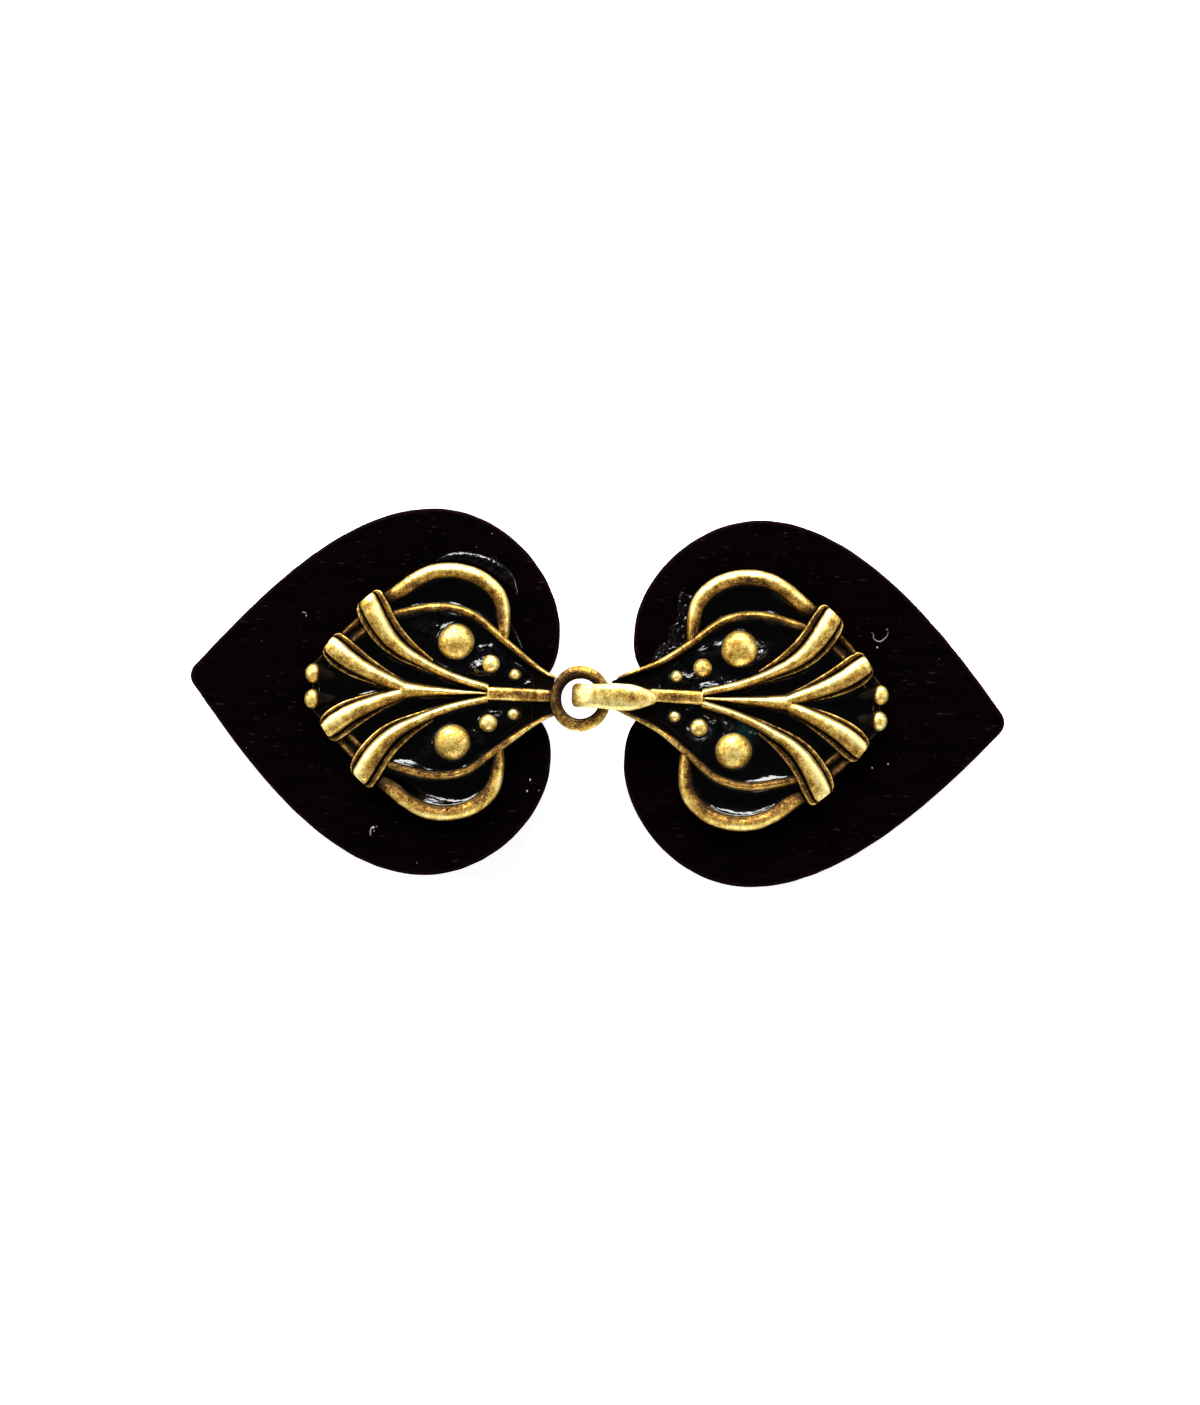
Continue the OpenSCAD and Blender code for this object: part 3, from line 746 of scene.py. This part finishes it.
def spread(values, edges, rounds):
    """Values averaged with their neighbours along a mesh's edges."""
    a, b = edges.T
    n = len(values)
    count = np.maximum(np.bincount(edges.ravel(), minlength=n), 1)[:, None]
    for _ in range(rounds):
        total = [np.bincount(a, v[b], n) + np.bincount(b, v[a], n) for v in values.T]
        values = 0.5 * values + 0.5 * np.transpose(total) / count
    return values


def edges_of(mesh):
    edges = np.empty(len(mesh.edges) * 2, np.int32)
    mesh.edges.foreach_get("vertices", edges)
    return edges.reshape(-1, 2)


def finish_piece(piece, body, slot, material, *nodes):
    """Scales a piece to metres, shades it smooth and hands it to the frame."""
    piece.data.transform(Matrix.Scale(MM, 4))
    piece.data.shade_smooth()
    piece.data.materials.clear()
    piece.data.materials.append(material)
    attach(piece, body)
    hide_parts(*nodes)


# Castings
def fused(piece):
    """Runs the parts of a casting together, softens it as a worn casting is, and thins its mesh."""
    turn_outwards(piece.data)
    modify(piece, "REMESH", mode="VOXEL", voxel_size=VOXEL)
    mesh = piece.data
    write_points(mesh, spread(read_points(mesh), edges_of(mesh), 2))
    triangles = 2 * len(mesh.polygons)
    modify(piece, "DECIMATE", ratio=min(1.0, CASTING_TRIANGLES / triangles))


def paint_polish_and_light(piece, whole):
    """Stores a casting's polish and painted light, taken from the nearest face of its parts, and where its
    edges stand out.
    """
    mesh = piece.data
    points, edges = read_points(mesh), edges_of(mesh)
    normals = read_points(mesh, "normal")
    sources, faces = whole
    tree = BVHTree.FromPolygons([tuple(p[:3]) for p in sources], faces)
    polish_and_light = np.empty(len(points))
    for i, p in enumerate(points):
        place, _, face, _ = tree.find_nearest(p)
        corners = sources[list(faces[face])]
        share = 1 / (np.linalg.norm(corners[:, :3] - place, axis=1) + 0.01) ** 2
        polish_and_light[i] = share @ corners[:, 3] / share.sum()
    polish_and_light = spread(polish_and_light[:, None], edges, 2)[:, 0]
    fine = ((points - spread(points, edges, 10)) * normals).sum(1)
    write_mask(mesh, "polish_and_light", polish_and_light)
    write_mask(mesh, "fine_edge", np.clip(fine / 0.06, -1, 1))


def casting(name, parts, seed):
    """Parts fused to one slightly uneven casting."""
    whole = joined(parts)
    piece = new_piece(name, *whole)
    fused(piece)
    paint_polish_and_light(piece, whole)
    mesh = piece.data
    points, normals = read_points(mesh), read_points(mesh, "normal")
    write_points(mesh, points + normals * uneven(points, CAST_WAVES, seed)[:, None])
    return piece


# Leather
def bezier(p, steps):
    """Cubic curve without its first point."""
    t = np.linspace(0, 1, steps + 1)[1:, None]
    p = [np.array(q, float) for q in p]
    return (1 - t) ** 3 * p[0] + 3 * t * (1 - t) ** 2 * p[1] + 3 * t * t * (1 - t) * p[2] + t ** 3 * p[3]


def heart_outline(length, steps=44):
    """A heart's outline from its tip at the origin round one lobe and back round the other."""
    half = HEART_W / 2
    side = np.array([math.cos(TIP_ANGLE), math.sin(TIP_ANGLE)])
    flank = TIP_R * np.array([1 - math.sin(TIP_ANGLE), math.cos(TIP_ANGLE)])
    wide = np.array([length - LOBE_L, half])
    lobe = np.array([length, LOBE_OFF])
    cleft = [length - CLEFT_L, 0]
    angles = np.radians(np.arange(0, 39, 5))
    tip = TIP_R * np.column_stack([1 - np.cos(angles), np.sin(angles)])
    upper = np.vstack([
        tip,
        [flank],
        bezier([flank, flank + FLANK_HANDLES[0] * side, wide - [FLANK_HANDLES[1], 0], wide], steps),
        bezier([wide, wide + [SHOULDER_HANDLES[0], 0], lobe + [0, SHOULDER_HANDLES[1]], lobe], steps),
        bezier([lobe, lobe - CLEFT_HANDLES[0], lobe - CLEFT_HANDLES[1], cleft], steps // 2),
    ])
    return np.array(both_sides(upper))


def outward(outline):
    """Unit vectors out of an outline at its corners."""
    way = unit(np.roll(outline, -1, 0) - np.roll(outline, 1, 0))
    area = np.cross(outline, np.roll(outline, -1, 0)).sum()
    return np.column_stack([way[:, 1], -way[:, 0]]) * np.sign(area)


def sheet_rings(outline, middle, edge, shares, top):
    """Rings of a sheet: edge has inset and height from the underside up; shares run in to the middle."""
    out = outward(outline)
    rings = [with_column(outline - out * inset, z) for inset, z in edge]
    rim = rings[-1][:, :2]
    return rings + [with_column(middle + (rim - middle) * share, top) for share in shares]


def heart_piece(name, heart, place, turn, scuffs, seed):
    """Leather heart with its scuffs, and with masks of its inset from the edge and of the scuffs."""
    outline = heart_outline(heart["length"])
    middle = np.array([heart["length"] - 0.45 * HEART_W, 0])
    edge = LEATHER_SIDE + [
        [EDGE_R * (1 - math.cos(a)), LEATHER_T - EDGE_R * (1 - math.sin(a))]
        for a in np.radians([0, 18, 36, 54, 72, 90])
    ]
    shares = np.r_[np.linspace(0.985, 0.9, 7), np.linspace(0.88, 0.02, 56)]
    rings = sheet_rings(outline, middle, edge, shares, LEATHER_T)
    foot = rings[0][:, :2]
    low = [with_column(middle + (foot - middle) * share, 0.0) for share in (0.05, 0.3, 0.55, 0.8, 0.93)]
    points, faces = tube(low + rings)
    flat, height = points[:, :2], points[:, 2].copy()
    rise, cut = uneven(flat, LEATHER_WAVES, seed), uneven(flat, CUT_WAVES, seed + 2)
    points[:, 2] += np.where(height > 0.5 * LEATHER_T, rise - 0.05, 0.05 + np.abs(rise))
    out = unit(flat - middle)
    flat += out * np.where((height > 0.1) & (height < LEATHER_T - 0.05), cut - 0.03, 0)[:, None]
    inset = step_between(0.0, 1.2, edge_distance(flat, outline))
    sheet = moved((with_column(points, 0.0), faces), place, turn=turn)
    marks = [moved(sweep(row, bead_section), (RING_X, RING_Y, LEATHER_Z + SCUFF_Z)) for row in scuffs]
    whole = joined([sheet] + marks)
    piece = new_piece(name, *whole)
    write_mask(piece.data, "inset", np.r_[inset, np.ones(len(whole[0]) - len(inset))])
    write_mask(piece.data, "scuff", whole[0][:, 3])
    turn_outwards(piece.data)
    return piece


# Glue
def wall_distance(points, strips):
    """Distance from points to the sides of strips, given as path places and half widths."""
    best = np.full(len(points), 1e9)
    for place, half in strips:
        for start in range(0, len(points), POINTS_AT_ONCE):
            some = slice(start, start + POINTS_AT_ONCE)
            gap = np.linalg.norm(points[some, None] - place, axis=2) - half
            best[some] = np.minimum(best[some], gap.min(1))
    return best


def edge_distance(points, outline):
    """Distance from points to an outline's corners."""
    return wall_distance(points, [(outline, 0.0)])


def inside_depth(points, outline):
    """How far points lie inside an outline, below zero outside it."""
    outline = np.array(outline, float)
    best = np.full(len(points), 1e9)
    crossings = np.zeros(len(points), int)
    for p, d in zip(outline, np.roll(outline, -1, 0) - outline):
        t = np.clip(((points - p) @ d) / (d @ d), 0, 1)
        best = np.minimum(best, np.linalg.norm(points - p - t[:, None] * d, axis=1))
        over = (points[:, 1] >= p[1]) != (points[:, 1] >= p[1] + d[1])
        if d[1] != 0:
            cut = p[0] + (points[:, 1] - p[1]) * d[0] / d[1]
            crossings += over & (points[:, 0] < cut)
    return np.where(crossings % 2 == 1, best, -best)


def walls(neck_strip):
    """Sides of a casting that the glue creeps up, off one side of the middle: path places, half widths."""
    found = []
    for table in (LOOP, ARC + neck_strip, STEM, WEB):
        rows = smooth_rows(table)
        found.append((rows[:, :2], rows[:, 2] / 2))
    for table in (OUTER_RIB, INNER_RIB, STEM_POINT):
        rows = smooth_rows(table)
        found.append((rows[:, :2], rows[:, 2] / 2 + 0.5 * (rows[:, 3] + rows[:, 4])))
    for row in DOMES + [KNOB]:
        found.append((np.array([row[:2]]), np.array([row[2]])))
    return found


def hump(flat, along, off, reach, stretch=1.0, turn=0.0):
    """Smooth hump of height one, with a reach, over points on the plane; it may be stretched and turned."""
    x, y = flat[:, 0] - along, flat[:, 1] - off
    c, s = math.cos(turn), math.sin(turn)
    return np.exp(-(((c * x + s * y) / stretch) ** 2 + (c * y - s * x) ** 2) / reach ** 2)


def glue_bed(neck_strip, wells, fillets, seed):
    """Wet-looking adhesive: a bed under the casting that wells up in its openings and pools on its plates."""
    half = smooth_rows(GLUE_OUTLINE, 0.3)
    half[:, 1] = np.maximum(half[:, 1], 0)
    half[0, 1] = half[-1, 1] = 0
    outline = np.array(both_sides(half))
    outline += outward(outline) * (0.12 * waves(outline, 3.0, seed) - 0.05)[:, None]
    middle = np.array([17.0, 0.0])
    shares = np.linspace(1, 0, 132)[1:-1]
    rings = sheet_rings(outline, middle, GLUE_SIDE, shares, GLUE_T)
    points, faces = tube(rings)
    flat = points[:, :2]
    folded = np.column_stack([flat[:, 0], np.abs(flat[:, 1])])
    near = wall_distance(folded, walls(neck_strip))
    on_plate = np.maximum(
        step_between(-0.35, 0.25, inside_depth(flat, both_sides(DOME_PLATE))),
        step_between(-1.6, 0.1, inside_depth(flat, both_sides(KNOB_PLATE))),
    )
    # It creeps up walls and fills some corners, pools on plates, wells up in places and lies thinly elsewhere
    inner = step_between(0.1, 0.9, edge_distance(flat, outline))
    ripple = 0.5 + 0.5 * waves(flat, 3.4, seed + 1)
    filled = sum(row[3] * hump(flat, *row[:3], *row[4:]) for row in fillets)
    creep = (0.06 + 0.14 * ripple + filled) * np.exp(-np.clip(near, 0, None) / (0.22 + 0.6 * filled))
    pool = PLATE_T + 0.1 + 0.03 * waves(flat, 3.0, seed + 2)
    bed = 0.06 + 0.04 * waves(flat, 5.0, seed + 3)
    haze_and_sheen = np.zeros(len(points))
    rng = np.random.default_rng(seed + 5)
    for along, off, radius, height in wells:
        turn = rng.uniform(-WELL_TURN, WELL_TURN)
        swell = hump(flat, along, off, radius, WELL_STRETCH, turn)
        bed += WELL_RISE * height * swell * (1 + 0.5 * waves(flat, 1.3, seed + 4))
        haze_and_sheen = np.maximum(haze_and_sheen, hump(flat, along, off, 2.2 * radius, WELL_STRETCH, turn))
    rise = inner * (creep + bed + on_plate * (0.84 + 0.16 * step_between(5.0, 7.5, flat[:, 0])) * pool)
    top = np.arange(len(points)) >= (len(GLUE_SIDE) - 2) * len(outline)
    points[:, 2] += np.where(top, rise, 0)
    return with_column(points, 0.5 * haze_and_sheen), faces


def glue_film(seed):
    """Thin crinkled smear of glue on the leather."""
    outline = smooth_rows(GLUE_FILM, 0.12)
    outline += outward(outline) * (0.25 * waves(outline, 0.9, seed + 2))[:, None]
    middle = np.array(FILM_MIDDLE)
    shares = np.linspace(1, 0, 70)[1:-1]
    points, faces = tube(sheet_rings(outline, middle, [[0.1, -0.05], [0.0, 0.0]], shares, 0.03))
    flat = points[:, :2]
    crinkle = 0.08 * np.maximum(waves(flat, 1.1, seed), 0)
    crinkle += 0.12 * np.maximum(waves(flat, 0.6, seed + 1) - 0.1, 0)
    points[:, 2] += np.where(points[:, 2] > 0.01, crinkle, 0)
    return with_column(points, FILM_HAZE_AND_SHEEN), faces


# Materials
def add(tree, kind, out=0, sockets=None, **settings):
    """Adds a shader node, sets or links its sockets, and returns one of its outputs."""
    made = tree.nodes.new("ShaderNode" + kind)
    for name, value in settings.items():
        setattr(made, name, value)
    for key, value in (sockets or {}).items():
        if isinstance(value, bpy.types.NodeSocket):
            tree.links.new(value, made.inputs[key])
        else:
            made.inputs[key].default_value = value
    return made.outputs[out]


def blank(name):
    material = bpy.data.materials.new(name)
    material.use_nodes = True
    tree = material.node_tree
    tree.nodes.clear()
    return material, tree


def places(tree, stretch=(1.0, 1.0, 1.0)):
    """Object coordinates in millimetres, stretched along the axes."""
    found = add(tree, "TexCoord", out="Object")
    return add(tree, "Mapping", sockets={0: found, "Scale": tuple(s / MM for s in stretch)})


def mask(tree, name):
    return add(tree, "Attribute", out="Fac", attribute_name=name)


def noise_at(tree, where, scale, detail, rough, seed=0.0):
    shifted = add(tree, "VectorMath", sockets={0: where, 1: (seed, seed * 1.7, seed * 0.6)}, operation="ADD")
    settings = {"Vector": shifted, "Scale": scale, "Detail": detail, "Roughness": rough}
    return add(tree, "TexNoise", sockets=settings)


def ramp(tree, value, low, high, to_low=0.0, to_high=1.0):
    """Smooth step of a value between two limits."""
    settings = {"Value": value, "From Min": low, "From Max": high, "To Min": to_low, "To Max": to_high}
    return add(tree, "MapRange", sockets=settings, interpolation_type="SMOOTHSTEP")


def plus(tree, a, b):
    return add(tree, "Math", sockets={0: a, 1: b}, operation="ADD")


def times(tree, a, b):
    return add(tree, "Math", sockets={0: a, 1: b}, operation="MULTIPLY")


def uneven_by(tree, noise, mean, strength):
    """Noise about zero: its distance from its mean, times a strength."""
    return times(tree, plus(tree, noise, -mean), strength)


def mixed(tree, share, a, b):
    return add(tree, "Mix", out=2, sockets={0: share, 6: a, 7: b}, data_type="RGBA")


def rgb(r, g, b):
    return (r, g, b, 1.0)


def surface(tree, bumps=(), **sockets):
    """Principled surface; bumps are pairs of height and strength, with distances in millimetres."""
    normal = {}
    for height, distance in bumps:
        settings = {"Height": height, "Distance": distance * MM, "Strength": 1.0}
        normal = {"Normal": add(tree, "Bump", sockets=settings | normal)}
    values = {k.replace("_", " "): v for k, v in sockets.items()}
    shader = add(tree, "BsdfPrincipled", sockets=values | normal)
    output = tree.nodes.new("ShaderNodeOutputMaterial")
    tree.links.new(shader, output.inputs["Surface"])


# Antique brass from black recesses to rubbed metal: polish and colour
BRASS_TONES = [
    (0.0, (0.0012, 0.0009, 0.0007)),
    (0.18, (0.012, 0.0078, 0.0042)),
    (0.36, (0.07, 0.038, 0.014)),
    (0.52, (0.24, 0.125, 0.031)),
    (0.68, (0.51, 0.30, 0.058)),
    (0.84, (0.78, 0.56, 0.14)),
    (1.0, (0.94, 0.80, 0.36)),
]


def antique_brass():
    material, tree = blank("antique_brass")
    where = places(tree)
    patches = noise_at(tree, where, 0.45, 4.0, 0.6)
    mottle = noise_at(tree, where, 2.2, 6.0, 0.75, 7.0)
    grit = noise_at(tree, where, 6.0, 3.0, 0.6, 3.0)
    polish_and_light, fine = mask(tree, "polish_and_light"), mask(tree, "fine_edge")
    # Edges that stand out are brighter and creases darker: rubbed wear and patina, with painted edge
    # highlights
    tone = plus(tree, polish_and_light, times(tree, fine, 0.4))
    uneven = uneven_by(tree, mottle, 0.53, 1.15)
    uneven = plus(tree, uneven, uneven_by(tree, patches, 0.54, 1.0))
    uneven = plus(tree, uneven, uneven_by(tree, grit, 0.51, 0.85))
    uneven = times(tree, uneven, ramp(tree, polish_and_light, 0.05, 0.5))
    tone = plus(tree, tone, uneven)
    colour = add(tree, "ValToRGB", sockets={0: tone})
    tones = tree.nodes[-1].color_ramp
    while len(tones.elements) < len(BRASS_TONES):
        tones.elements.new(0.5)
    for element, (at, value) in zip(tones.elements, BRASS_TONES):
        element.position = at
        element.color = rgb(*value)
    pits = times(tree, ramp(tree, grit, 0.38, 0.28), 0.8)
    colour = mixed(tree, pits, colour, rgb(0.02, 0.01, 0.004))
    surface(
        tree,
        bumps=[(mottle, 0.05), (grit, 0.02)],
        Base_Color=colour,
        Metallic=ramp(tree, tone, 0.05, 0.4),
        Roughness=ramp(tree, tone, 0.1, 0.9, 0.65, 0.46),
        Specular_IOR_Level=0.02,
    )
    return material


def dark_leather():
    material, tree = blank("dark_leather")
    where = places(tree)
    streaked = places(tree, (0.25, 1.6, 1.0))
    cells = {"Vector": where, "Scale": 2.6, "Smoothness": 0.6}
    grain = add(tree, "TexVoronoi", sockets=cells, feature="SMOOTH_F1")
    fine = noise_at(tree, where, 4.0, 4.0, 0.6)
    streaks = noise_at(tree, streaked, 0.8, 5.0, 0.6, 4.0)
    streaks = ramp(tree, streaks, 0.35, 0.75)
    colour = mixed(tree, streaks, rgb(0.0005, 0.0001, 0.0002), rgb(0.0018, 0.0003, 0.0005))
    # Lighter reddish cut edge: burnished colour and a painted edge highlight
    edge = ramp(tree, mask(tree, "inset"), 0.35, 0.05)
    colour = mixed(tree, edge, colour, rgb(0.006, 0.0015, 0.0018))
    # Dashes along the clasp and sparse specks, where the surface is scuffed
    dashes = noise_at(tree, places(tree, (0.5, 2.4, 1.0)), 1.5, 2.0, 0.5, 11.0)
    colour = mixed(tree, ramp(tree, dashes, 0.65, 0.78, 0.0, 0.45), colour, rgb(0.035, 0.018, 0.016))
    specks = noise_at(tree, where, 2.4, 1.0, 0.5, 17.0)
    colour = mixed(tree, ramp(tree, specks, 0.8, 0.86, 0.0, 0.8), colour, rgb(0.25, 0.22, 0.21))
    colour = mixed(tree, times(tree, mask(tree, "scuff"), 0.9), colour, rgb(0.42, 0.36, 0.36))
    surface(
        tree,
        bumps=[(grain, 0.03), (fine, 0.02)],
        Base_Color=colour,
        Roughness=ramp(tree, fine, 0.3, 0.7, 0.5, 0.7),
        Specular_IOR_Level=0.008,
    )
    return material


def wet_glue():
    material, tree = blank("wet_glue")
    where = places(tree)
    swirl = noise_at(tree, where, 0.9, 3.0, 0.5)
    shade = ramp(tree, swirl, 0.45, 0.7)
    colour = mixed(tree, shade, rgb(0.0002, 0.0002, 0.0003), rgb(0.0008, 0.0008, 0.0011))
    # Lighter purple-grey patches: cloudy glue and a painted reflection
    clouds = ramp(tree, noise_at(tree, where, 1.6, 5.0, 0.7, 13.0), 0.46, 0.66)
    haze_and_sheen = times(tree, mask(tree, "haze_and_sheen"), clouds)
    colour = mixed(tree, haze_and_sheen, colour, rgb(0.013, 0.009, 0.012))
    # Painted greenish reflection beside the hook casting's lower dome
    colour = mixed(tree, mask(tree, "teal_reflection"), colour, rgb(0.006, 0.03, 0.026))
    depth = plus(tree, mask(tree, "haze_and_sheen"), 0.25)
    ripple = times(tree, noise_at(tree, where, 2.2, 2.0, 0.5, 21.0), depth)
    surface(
        tree,
        bumps=[(noise_at(tree, where, 0.7, 1.0, 0.5, 9.0), 0.05), (ripple, 0.12)],
        Base_Color=colour,
        Roughness=ramp(tree, swirl, 0.3, 0.8, 0.04, 0.11),
        Specular_IOR_Level=0.36,
    )
    return material


def clip_steel():
    material, tree = blank("clip_steel")
    where = places(tree)
    brushed = noise_at(tree, places(tree, (0.2, 4.0, 4.0)), 2.2, 5.0, 0.6)
    stains = noise_at(tree, where, 0.5, 5.0, 0.6, 5.0)
    colour = mixed(tree, ramp(tree, stains, 0.4, 0.75), rgb(0.52, 0.51, 0.49), rgb(0.33, 0.31, 0.28))
    surface(
        tree,
        bumps=[(brushed, 0.012)],
        Base_Color=colour,
        Metallic=1.0,
        Roughness=ramp(tree, brushed, 0.3, 0.7, 0.26, 0.46),
    )
    return material


def pale_floor():
    material, tree = blank("pale_floor")
    surface(
        tree,
        Base_Color=rgb(0.9, 0.9, 0.9),
        Roughness=0.9,
        Specular_IOR_Level=0.1,
        Emission_Color=rgb(1.0, 1.0, 1.0),
        Emission_Strength=0.55,
    )
    return material


# Camera, lights and floor
def look_down():
    """Camera straight above, turned as the photograph is, with the photograph's scale at the castings."""
    centre = np.array([PHOTO_W / 2, PHOTO_H / 2]) - RING_PIXEL
    c, s = math.cos(PHOTO_ROLL), math.sin(PHOTO_ROLL)
    x = RING_X + MM_PER_PIXEL * (centre[0] * c + centre[1] * s)
    y = RING_Y + MM_PER_PIXEL * (centre[0] * s - centre[1] * c)
    data = bpy.data.cameras.new("camera")
    data.sensor_width = SENSOR
    data.lens = SENSOR * CAMERA_HEIGHT / (PHOTO_H * MM_PER_PIXEL)
    data.clip_start, data.clip_end = 0.05, 20.0
    camera = in_scene("camera", data)
    camera.location = Vector((x, y, CAST_Z + CAMERA_HEIGHT)) * MM
    camera.rotation_euler = (0, 0, PHOTO_ROLL)
    bpy.context.scene.camera = camera


def soft_light(name, azimuth, elevation, distance, size, power):
    data = bpy.data.lights.new(name, "AREA")
    data.shape = "RECTANGLE"
    data.size, data.size_y = size
    data.energy = power
    light = in_scene(name, data)
    a, e = math.radians(azimuth), math.radians(elevation)
    away = Vector((math.cos(a) * math.cos(e), math.sin(a) * math.cos(e), math.sin(e)))
    light.location = away * distance
    light.rotation_euler = (-away).to_track_quat("-Z", "Y").to_euler()


def studio():
    world = bpy.data.worlds.new("world")
    world.use_nodes = True
    tree = world.node_tree
    # Dim overhead, as in a light tent, and brighter towards the sides
    height = add(tree, "SeparateXYZ", out="Z", sockets={0: add(tree, "TexCoord", out="Generated")})
    glow = ramp(tree, height, 0.98, 0.55, OVERHEAD_GLOW, SIDE_GLOW)
    background = tree.nodes["Background"]
    background.inputs["Color"].default_value = rgb(1.0, 1.0, 1.0)
    tree.links.new(glow, background.inputs["Strength"])
    bpy.context.scene.world = world
    for row in LIGHTS:
        soft_light(*row)
    r = FLOOR_HALF
    floor = new_piece("floor", [(-r, -r, 0), (r, -r, 0), (r, r, 0), (-r, r, 0)], [(0, 1, 2, 3)])
    floor.location = (0, 0, cad_box[0].z)
    floor.data.materials.append(pale_floor())
    view = bpy.context.scene.view_settings
    view.view_transform = "Standard"
    view.gamma = CONTRAST_GAMMA


def on_eye_fan(parts, z):
    """Parts moved to the place of the ring's fan, at a height."""
    return [moved(part, (RING_X, RING_Y + EYE_FAN_OFFSET, z), flip=True) for part in parts]


def on_hook_fan(parts, z):
    """Parts moved to the place of the hook's fan, at a height."""
    return [moved(part, (*HOOK_FAN_XY, z), turn=FAN_TURN, size=FAN_SCALE) for part in parts]


def build_castings(material):
    eye = on_eye_fan(fan(RING_NECK_STRIP) + ring_neck(), CAST_Z)
    eye.append(moved(ring(), (RING_X, RING_Y, CAST_Z), flip=True))
    hook = on_hook_fan(fan(HOOK_NECK_STRIP) + hook_neck(), CAST_Z)
    hook.append(moved(hook_bar(), (RING_X, RING_Y + HOOK_OFFSET, CAST_Z)))
    finish_piece(casting("eye_casting_brass", eye, 11), "eye_half", "brass", material, "eye_casting")
    finish_piece(casting("hook_casting_brass", hook, 23), "hook_half", "brass", material, "hook_casting")


def build_glue(material):
    beads = [sweep(row, bead_section) for row in GLUE_RIDGES]
    left = [glue_bed(RING_NECK_STRIP, LEFT_WELLS, LEFT_FILLETS, 31)] + beads
    right = [glue_bed(HOOK_NECK_STRIP, RIGHT_WELLS, RIGHT_FILLETS, 47), glue_film(53)]
    left, right = on_eye_fan(left, GLUE_Z), on_hook_fan(right, GLUE_Z)
    for (side, body), parts in zip(HALVES, (left, right)):
        points, faces = joined(parts)
        piece = new_piece("glue_" + side, points, faces)
        flat = points[:, :2] - HOOK_FAN_XY
        write_mask(piece.data, "haze_and_sheen", points[:, 3])
        # Mask of the painted greenish reflection
        write_mask(piece.data, "teal_reflection", hump(flat, *TEAL_REFLECTION) * (0.7 + 0.5 * waves(flat, 1.2, 61)))
        turn_outwards(piece.data)
        finish_piece(piece, body, "glue", material, "glue_bed_" + side)


def build_leather(material):
    left = (LEFT_HEART, -1, 0.0, LEFT_SCUFFS, 5)
    right = (RIGHT_HEART, 1, math.pi, RIGHT_SCUFFS, 6)
    for (side, body), (heart, way, facing, scuffs, seed) in zip(HALVES, (left, right)):
        tip = (RING_X + way * heart["reach"], RING_Y + heart["tip_y"], LEATHER_Z)
        turn = facing - math.radians(heart["turn"])
        piece = heart_piece("leather_" + side, heart, tip, turn, scuffs, seed)
        finish_piece(piece, body, "leather", material, "leather_heart_" + side)


def build_clips(material):
    """Plain folded clips with the frame's shape and softened edges."""
    for side, body in HALVES:
        node = "garment_clip_" + side
        piece = in_scene("clip_" + side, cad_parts[node].data.copy())
        modify(piece, "WELD", merge_threshold=CLIP_WELD * MM)
        sharp = {"limit_method": "ANGLE", "angle_limit": math.radians(50)}
        modify(piece, "BEVEL", width=CLIP_EDGE * MM, segments=3, **sharp)
        piece.data.transform(Matrix.Scale(1 / MM, 4))
        finish_piece(piece, body, "clip_steel", material, node)


studio()
look_down()
build_castings(antique_brass())
build_glue(wet_glue())
build_leather(dark_leather())
build_clips(clip_steel())
